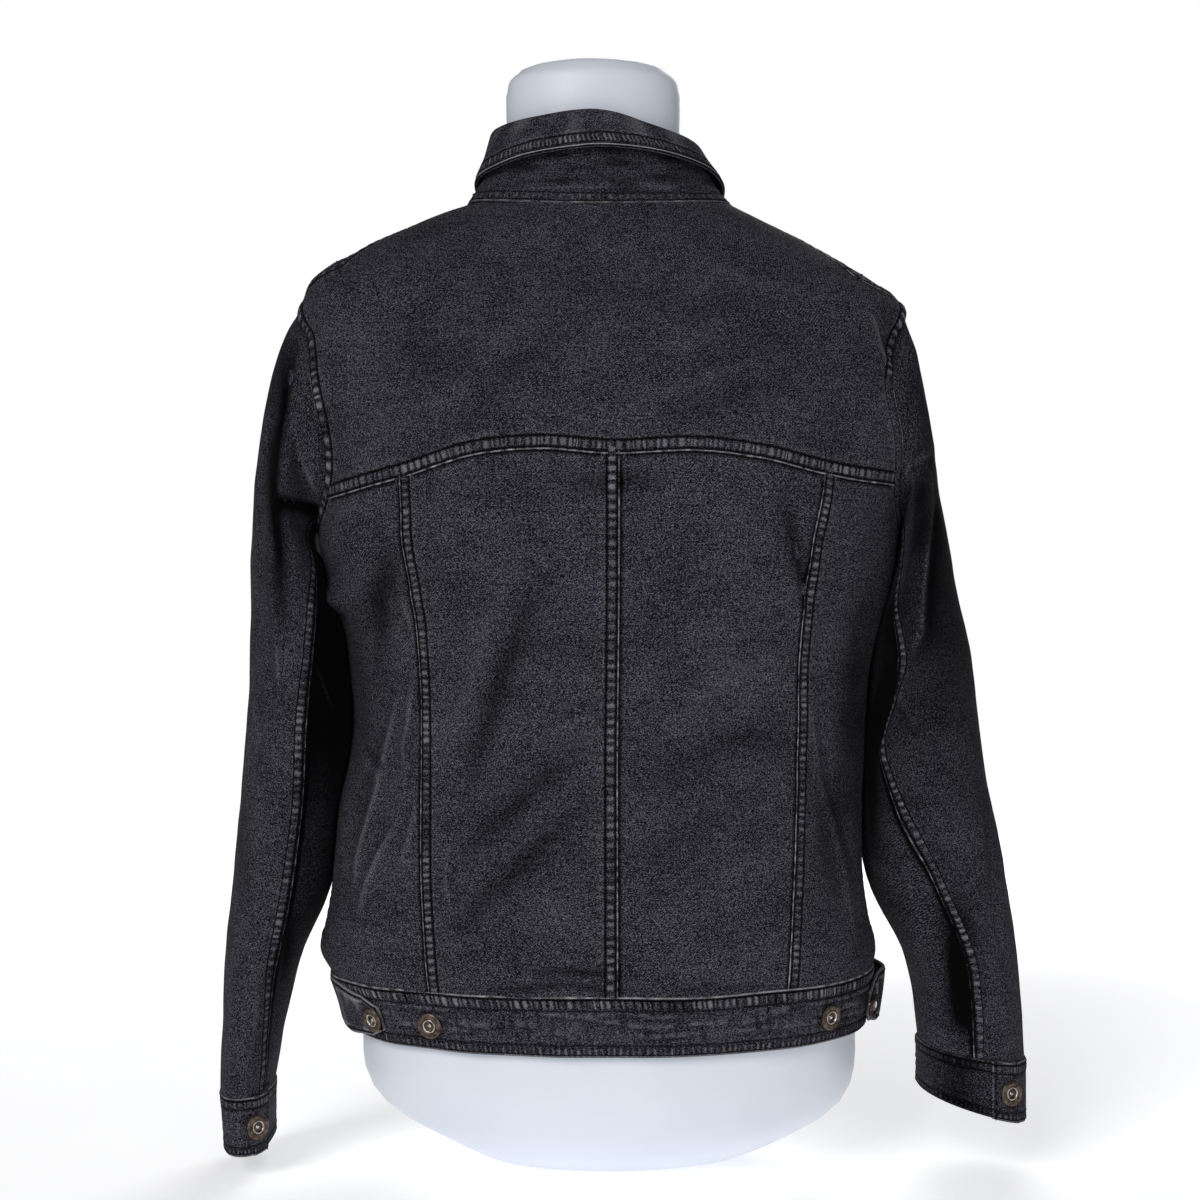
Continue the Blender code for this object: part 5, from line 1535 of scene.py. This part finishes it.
def lathe(profile, centre, facing):
    """Points and faces of a profile turned round an axis through the centre."""
    first = unit(np.cross(facing, (0, 0, 1.0)))
    second = np.cross(facing, first)
    turn = np.arange(BUTTON_STEPS) * 2 * np.pi / BUTTON_STEPS
    around = np.cos(turn)[:, None] * first + np.sin(turn)[:, None] * second
    points = np.concatenate([centre + around * radius + facing * height for radius, height in profile])
    ring = np.arange(len(points)).reshape(len(profile), BUTTON_STEPS)
    return points, quads(np.column_stack([ring, ring[:, 0]]))


def build_button(name, node, centre, facing, brass, nickel):
    """A shank button: an antiqued brass ring round a bright sunk centre."""
    facing = unit(np.asarray(facing, float))
    ring, ring_faces = lathe(BUTTON_FACE, centre, facing)
    rim, rim_faces = lathe(BUTTON_RIM, centre, facing)
    mesh = new_mesh(name, np.concatenate([ring, rim]) * MM, [ring_faces, rim_faces + len(ring)])
    cleaned(mesh)
    finish_piece(name, mesh, [node], brass)
    mesh.materials.append(nickel)
    for polygon in mesh.polygons:
        away = np.array(polygon.center) / MM - centre
        high = away @ facing
        reach = np.linalg.norm(away - high * facing)
        bright = reach < NUB_RADIUS or FLOOR_RADIUS < reach < RIM_RADIUS
        polygon.material_index = int(high > FLOOR_HEIGHT and bright)


def cleaned(mesh):
    """Doubles at the poles merged and normals turned out."""
    body = bmesh.new()
    body.from_mesh(mesh)
    bmesh.ops.remove_doubles(body, verts=body.verts, dist=0.00001)
    bmesh.ops.recalc_face_normals(body, faces=body.faces)
    for face in body.faces:
        face.smooth = True
    body.to_mesh(mesh)
    body.free()
    mesh.set_sharp_from_angle(angle=np.radians(BUTTON_SHARP))


def build_buttons(brass, nickel):
    """Front, waist and cuff buttons, each on the layer that it closes."""
    for i, height in enumerate(FRONT_BUTTONS):
        lift = BAND_PROUD + OVER if height < WAIST_SEAM else PLACKET_LIFT
        angle = float(angle_at_x(height, 0.0, front=True))
        points, normal, _, _ = torso(height, angle, lift + 0.3, calm=0.0)
        build_button(f"front_shank_button_{i + 1}", f"front_button_{i + 1}", points, normal, brass, nickel)
    for node, (carrier, x) in WAIST_BUTTONS.items():
        lift = BAND_PROUD + (0.0 if carrier == "free" else GAP + BAND)
        angle = float(angle_at_x(BAND_MIDDLE, x))
        points, normal, _, _ = torso(BAND_MIDDLE, angle, lift + 0.5, calm=0.0)
        build_button(f"shank_{node}", node, points, normal, brass, nickel)
    for label in SLEEVES:
        turn = CUFFS[label][1] + 360
        centre, facing = cuff_surface(label, np.array([turn, turn - 1, turn + 1]), 0.5)
        above, below = (cuff_surface(label, np.array([turn]), level)[0][0] for level in (0.4, 0.6))
        down = below - above
        normal = unit(np.cross(down, centre[2] - centre[1]))
        normal *= np.sign(normal @ facing[0])
        name = f"shank_cuff_button_{label}"
        build_button(name, f"cuff_button_{label}", centre[0] + normal * 0.2, normal, brass, nickel)


STITCH_PITCH = 3.4 * MM
STITCH_SIZE = (1.25 * MM, 0.33 * MM, 0.3 * MM)  # half lengths of one stitch
STITCH_SEED = 7


def stitch_tree(thread):
    """Geometry Nodes that lay one stitch at each step along every line of the input."""
    tree = bpy.data.node_groups.new("topstitch", "GeometryNodeTree")
    sockets = (("Geometry", "Geometry"), ("Pitch", "Float"), ("Size", "Vector"), ("Seed", "Int"))
    for name, kind in sockets:
        tree.interface.new_socket(name, in_out="INPUT", socket_type=f"NodeSocket{kind}")
    tree.interface.new_socket("Geometry", in_out="OUTPUT", socket_type="NodeSocketGeometry")
    given = tree.nodes.new("NodeGroupInput").outputs
    result = tree.nodes.new("NodeGroupOutput")
    curve = add_node(tree, "GeometryNodeMeshToCurve", {"Mesh": given["Geometry"]})
    steps = {"Curve": curve.outputs["Curve"], "Length": given["Pitch"]}
    points = add_node(tree, "GeometryNodeCurveToPoints", steps, mode="LENGTH").outputs
    block = add_node(tree, "GeometryNodeMeshCube", {"Size": (2.0, 1.6, 1.6)})
    scaled = {"Geometry": block.outputs["Mesh"], "Scale": given["Size"]}
    stitch = add_node(tree, "GeometryNodeTransform", scaled)
    along = add_node(tree, "FunctionNodeAlignRotationToVector", {"Vector": points["Tangent"]}, axis="X")
    uneven = {"Min": (0.8, 0.85, 0.8), "Max": (1.1, 1.15, 1.1), "Seed": given["Seed"]}
    vary = add_node(tree, "FunctionNodeRandomValue", uneven, data_type="FLOAT_VECTOR")
    laying = {
        "Points": points["Points"],
        "Instance": stitch.outputs["Geometry"],
        "Rotation": along.outputs["Rotation"],
        "Scale": vary.outputs["Value"],
    }
    laid = add_node(tree, "GeometryNodeInstanceOnPoints", laying)
    real = add_node(tree, "GeometryNodeRealizeInstances", {"Geometry": laid.outputs["Instances"]})
    dye = {"Geometry": real.outputs["Geometry"], "Material": thread}
    dyed = add_node(tree, "GeometryNodeSetMaterial", dye)
    tree.links.new(dyed.outputs["Geometry"], result.inputs["Geometry"])
    return tree


def build_stitches(thread):
    """All topstitching as one piece, from the lines that the seams left."""
    starts = np.cumsum([0] + [len(line) for line in stitch_lines[:-1]])
    edges = [
        np.column_stack([np.arange(len(line) - 1)] * 2) + (0, 1) + start
        for line, start in zip(stitch_lines, starts)
    ]
    path = bpy.data.meshes.new("stitch lines")
    path.from_pydata(np.concatenate(stitch_lines) * MM, np.concatenate(edges), [])
    item = bpy.data.objects.new("stitch lines", path)
    bpy.context.scene.collection.objects.link(item)
    modifier = item.modifiers.new("topstitch", "NODES")
    modifier.node_group = stitch_tree(thread)
    given = {"Pitch": STITCH_PITCH, "Size": STITCH_SIZE, "Seed": STITCH_SEED}
    for socket in modifier.node_group.interface.items_tree:
        if socket.in_out == "INPUT" and socket.name in given:
            modifier[socket.identifier] = given[socket.name]
    bpy.context.view_layer.update()
    made = item.evaluated_get(bpy.context.evaluated_depsgraph_get())
    mesh = bpy.data.meshes.new_from_object(made)
    bpy.data.objects.remove(item)
    mesh.name = "topstitching"
    mesh.materials.clear()
    finish_piece("topstitching", mesh, [], thread)


# ---------------------------------------------------------------- materials


def srgb(code):
    """A hex colour as linear RGBA."""
    parts = np.array([int(code[i : i + 2], 16) for i in (1, 3, 5)]) / 255
    linear = np.where(parts <= 0.04045, parts / 12.92, ((parts + 0.055) / 1.055) ** 2.4)
    return (*linear.tolist(), 1.0)


def add_node(tree, kind, inputs=None, **settings):
    """A node with its settings, and its inputs given as values or as other nodes' outputs."""
    node = tree.nodes.new(kind)
    for name, value in settings.items():
        setattr(node, name, value)
    for name, value in (inputs or {}).items():
        socket = node.inputs[name]
        if isinstance(value, bpy.types.NodeSocket):
            tree.links.new(value, socket)
        else:
            socket.default_value = value
    return node


def blank(name, values):
    """A new material with its tree and shader, whose plain values are set."""
    made = bpy.data.materials.new(name)
    made.use_nodes = True
    shader = made.node_tree.nodes["Principled BSDF"]
    for socket, value in values.items():
        shader.inputs[socket].default_value = value
    return made, made.node_tree, shader


def ramp(tree, source, *stops):
    """Colours laid along a value."""
    node = add_node(tree, "ShaderNodeValToRGB", {"Fac": source})
    while len(node.color_ramp.elements) < len(stops):
        node.color_ramp.elements.new(0.5)
    for element, (place, code) in zip(node.color_ramp.elements, stops):
        element.position = place
        element.color = srgb(code)
    return node.outputs["Color"]


def maths(tree, operation, first, second, clamp=False):
    """One operation on two values or other nodes' outputs."""
    node = add_node(tree, "ShaderNodeMath", operation=operation, use_clamp=clamp)
    for socket, value in zip(node.inputs, (first, second)):
        if isinstance(value, bpy.types.NodeSocket):
            tree.links.new(value, socket)
        else:
            socket.default_value = value
    return node.outputs[0]


def weighed(tree, *layers):
    """The sum of layers given as a value and its share."""
    total = None
    for value, share in layers:
        part = maths(tree, "MULTIPLY", value, share)
        total = maths(tree, "ADD", total, part) if total else part
    return total


def noise(tree, scale, detail=2.0):
    """Noise in the object's own space, in features a metre."""
    place = add_node(tree, "ShaderNodeTexCoord").outputs["Object"]
    given = {"Vector": place, "Scale": scale, "Detail": detail}
    return add_node(tree, "ShaderNodeTexNoise", given).outputs["Fac"]


def spread(tree, cloth, across, along, detail=2.0):
    """Noise on the cloth, in features a metre across it and along it."""
    mapped = add_node(tree, "ShaderNodeMapping", {"Vector": cloth, "Scale": (across, along, 1.0)})
    given = {"Vector": mapped.outputs["Vector"], "Scale": 1.0, "Detail": detail}
    return add_node(tree, "ShaderNodeTexNoise", given).outputs["Fac"]


def mixed(tree, share, first, second):
    """Two colours, mixed by how much of the second there is."""
    node = add_node(tree, "ShaderNodeMix", data_type="RGBA")
    tree.links.new(share, node.inputs[0])
    for socket, value in ((node.inputs[6], first), (node.inputs[7], second)):
        if isinstance(value, str):
            socket.default_value = srgb(value)
        else:
            tree.links.new(value, socket)
    return node.outputs[2]


def embossed(tree, shader, height, strength, depth):
    """Relief too fine for the mesh, in metres."""
    relief = add_node(tree, "ShaderNodeBump", {"Height": height, "Strength": strength, "Distance": depth})
    tree.links.new(relief.outputs["Normal"], shader.inputs["Normal"])


def patchy(tree, shader, value, low, high):
    """Roughness that follows a value."""
    rough = add_node(tree, "ShaderNodeMapRange", {"Value": value, "To Min": low, "To Max": high})
    tree.links.new(rough.outputs["Result"], shader.inputs["Roughness"])


def denim_material():
    """Black denim washed to charcoal: short pale slubs across, fine specks, worn raised edges with painted
    highlights, and painted shade.
    """
    matt = {"Roughness": 0.9, "Specular IOR Level": 0.03, "Sheen Weight": 0.012, "Sheen Roughness": 0.5}
    made, tree, shader = blank("black washed denim", matt)
    cloth = add_node(tree, "ShaderNodeUVMap", uv_map="cloth").outputs["UV"]
    fade = add_node(tree, "ShaderNodeAttribute", attribute_name="fade").outputs["Fac"]
    specks = noise(tree, 1300.0)
    dashes = spread(tree, cloth, 620.0, 1500.0)
    slubs = spread(tree, cloth, 75.0, 620.0, 3.0)
    bands = spread(tree, cloth, 9.0, 170.0, 3.0)
    patches = spread(tree, cloth, 22.0, 34.0, 4.0)
    # the twill line is 0.6 mm in real cloth, drawn at 1.3 mm so that it can be seen whole
    wales = {"Vector": cloth, "Scale": 340.0, "Distortion": 1.5, "Detail": 1.0, "Detail Scale": 1.5}
    twill = add_node(tree, "ShaderNodeTexWave", wales, wave_type="BANDS", bands_direction="DIAGONAL")
    twill = twill.outputs["Fac"]
    layers = ((specks, 0.5), (dashes, 0.28), (slubs, 0.09), (twill, 0.04), (patches, 0.07), (bands, 0.02))
    weave = weighed(tree, *layers)
    ground = ramp(tree, weave, (0.415, "#060608"), (0.5, "#232229"), (0.585, "#5c5b63"))
    # Wear and painted highlights: the attribute's positive part mixes the cloth toward pale grey.
    wear_and_highlight = maths(tree, "MAXIMUM", fade, 0.0)
    wear_and_highlight = maths(tree, "MULTIPLY", wear_and_highlight, maths(tree, "ADD", specks, 0.35))
    pale = mixed(tree, maths(tree, "MULTIPLY", wear_and_highlight, 0.9, clamp=True), ground, "#a5a3a6")
    # Painted shade: the attribute's negative part mixes the cloth toward near black.
    painted_shade = maths(tree, "MULTIPLY", fade, -1.0, clamp=True)
    tree.links.new(mixed(tree, painted_shade, pale, "#040405"), shader.inputs["Base Color"])
    embossed(tree, shader, weighed(tree, (specks, 0.8), (slubs, 0.3), (twill, 0.25)), 0.6, 0.0005)
    return made


def thread_material():
    """Black polyester thread: darker than the cloth, with a slight shine."""
    made, tree, shader = blank("black topstitch thread", {"Roughness": 0.75, "Specular IOR Level": 0.08})
    lint = ramp(tree, noise(tree, 500.0), (0.35, "#060607"), (0.65, "#121214"))
    tree.links.new(lint, shader.inputs["Base Color"])
    return made


def metal_material(name, dark, light, roughness):
    """Plated metal gone dull in patches."""
    made, tree, shader = blank(name, {"Metallic": 1.0})
    patina = noise(tree, 320.0, 4.0)
    tree.links.new(ramp(tree, patina, (0.35, dark), (0.65, light)), shader.inputs["Base Color"])
    patchy(tree, shader, patina, roughness + 0.12, roughness)
    return made


def form_material():
    """White moulded shell: cool, satin, with the faint waviness of a moulding."""
    made, tree, shader = blank("white moulded shell", {})
    wave = noise(tree, 9.0, 3.0)
    tree.links.new(ramp(tree, wave, (0.3, "#d3d8e2"), (0.7, "#dbe0e9")), shader.inputs["Base Color"])
    embossed(tree, shader, noise(tree, 260.0), 0.15, 0.0006)
    patchy(tree, shader, wave, 0.42, 0.5)
    return made


def floor_material():
    """Pale matt ground, with a little light of its own so that it stays white."""
    lit = {"Roughness": 0.9, "Emission Color": srgb("#ffffff"), "Emission Strength": 0.43}
    made, tree, shader = blank("pale matt floor", lit)
    grain = ramp(tree, noise(tree, 4.0), (0.3, "#f4f4f5"), (0.7, "#f8f8f8"))
    tree.links.new(grain, shader.inputs["Base Color"])
    return made


# ---------------------------------------------------------------- room, light and camera


FLOOR_HALF = 2.3
AIM = Vector((0, 0, 0.42))  # the middle of the jacket, at which every light points


def build_floor():
    """The ground that the form stands on."""
    mesh = bpy.data.meshes.new("floor")
    half = FLOOR_HALF
    corners = [(-half, -half, 0), (half, -half, 0), (half, half, 0), (-half, half, 0)]
    mesh.from_pydata(corners, [], [(0, 1, 2, 3)])
    mesh.materials.append(floor_material())
    floor = bpy.data.objects.new("floor", mesh)
    bpy.context.scene.collection.objects.link(floor)


def add_light(name, kind, place, power, size):
    """A soft light aimed at the middle of the jacket: an AREA disc of a size, or a SUN of an angle."""
    light = bpy.data.lights.new(name, kind)
    light.energy = power
    if kind == "AREA":
        light.shape, light.size = "DISK", size
    else:
        light.angle = np.radians(size)
    item = bpy.data.objects.new(name, light)
    item.location = place
    item.rotation_euler = (AIM - Vector(place)).to_track_quat("-Z", "Y").to_euler()
    bpy.context.scene.collection.objects.link(item)


def build_room():
    """A white room, dimmer as a light than it looks, and a broad light over the camera with fills."""
    world = bpy.data.worlds.new("white room")
    world.use_nodes = True
    tree = world.node_tree
    seen = tree.nodes["Background"]
    seen.inputs["Color"].default_value = srgb("#ffffff")
    seen.inputs["Strength"].default_value = 1.0
    lit = add_node(tree, "ShaderNodeBackground", {"Color": srgb("#f2f5ff"), "Strength": 0.13})
    sight = add_node(tree, "ShaderNodeLightPath").outputs["Is Camera Ray"]
    both = add_node(tree, "ShaderNodeMixShader", {"Fac": sight})
    tree.links.new(lit.outputs["Background"], both.inputs[1])
    tree.links.new(seen.outputs["Background"], both.inputs[2])
    tree.links.new(both.outputs["Shader"], tree.nodes["World Output"].inputs["Surface"])
    bpy.context.scene.world = world
    bpy.context.scene.view_settings.view_transform = "Standard"
    add_light("key over the camera", "SUN", (1.7, 3.1, 2.4), 1.6, 25.0)
    add_light("fill beside the camera", "AREA", (-0.7, 2.2, 0.6), 9.0, 1.2)
    add_light("front light", "AREA", (-0.6, -2.6, 1.8), 40.0, 1.6)


def build_camera():
    """A lens of 68.6 mm straight behind the jacket, 1.6 m away."""
    camera = bpy.data.cameras.new("camera")
    camera.sensor_width = 36.0
    camera.lens = 68.57
    item = bpy.data.objects.new("camera", camera)
    item.location = (0.0028, 1.6, 0.3955)
    item.rotation_euler = np.radians((90.0, 0.0, 180.0))
    bpy.context.scene.collection.objects.link(item)
    bpy.context.scene.camera = item


def main():
    """Every piece of the jacket, its form and its room."""
    denim = denim_material()
    brass = metal_material("aged brass plate", "#3d332b", "#6f6055", 0.4)
    nickel = metal_material("bright nickel rim", "#8f8c88", "#cfccc8", 0.2)
    build_back(denim)
    build_fronts(denim)
    build_waistband(denim)
    build_top_collar(denim)
    build_undercollar(denim)
    build_sleeves(denim)
    build_cuffs(denim)
    build_tabs(denim)
    build_form(form_material())
    build_buttons(brass, nickel)
    build_stitches(thread_material())
    build_floor()
    build_room()
    build_camera()


main()
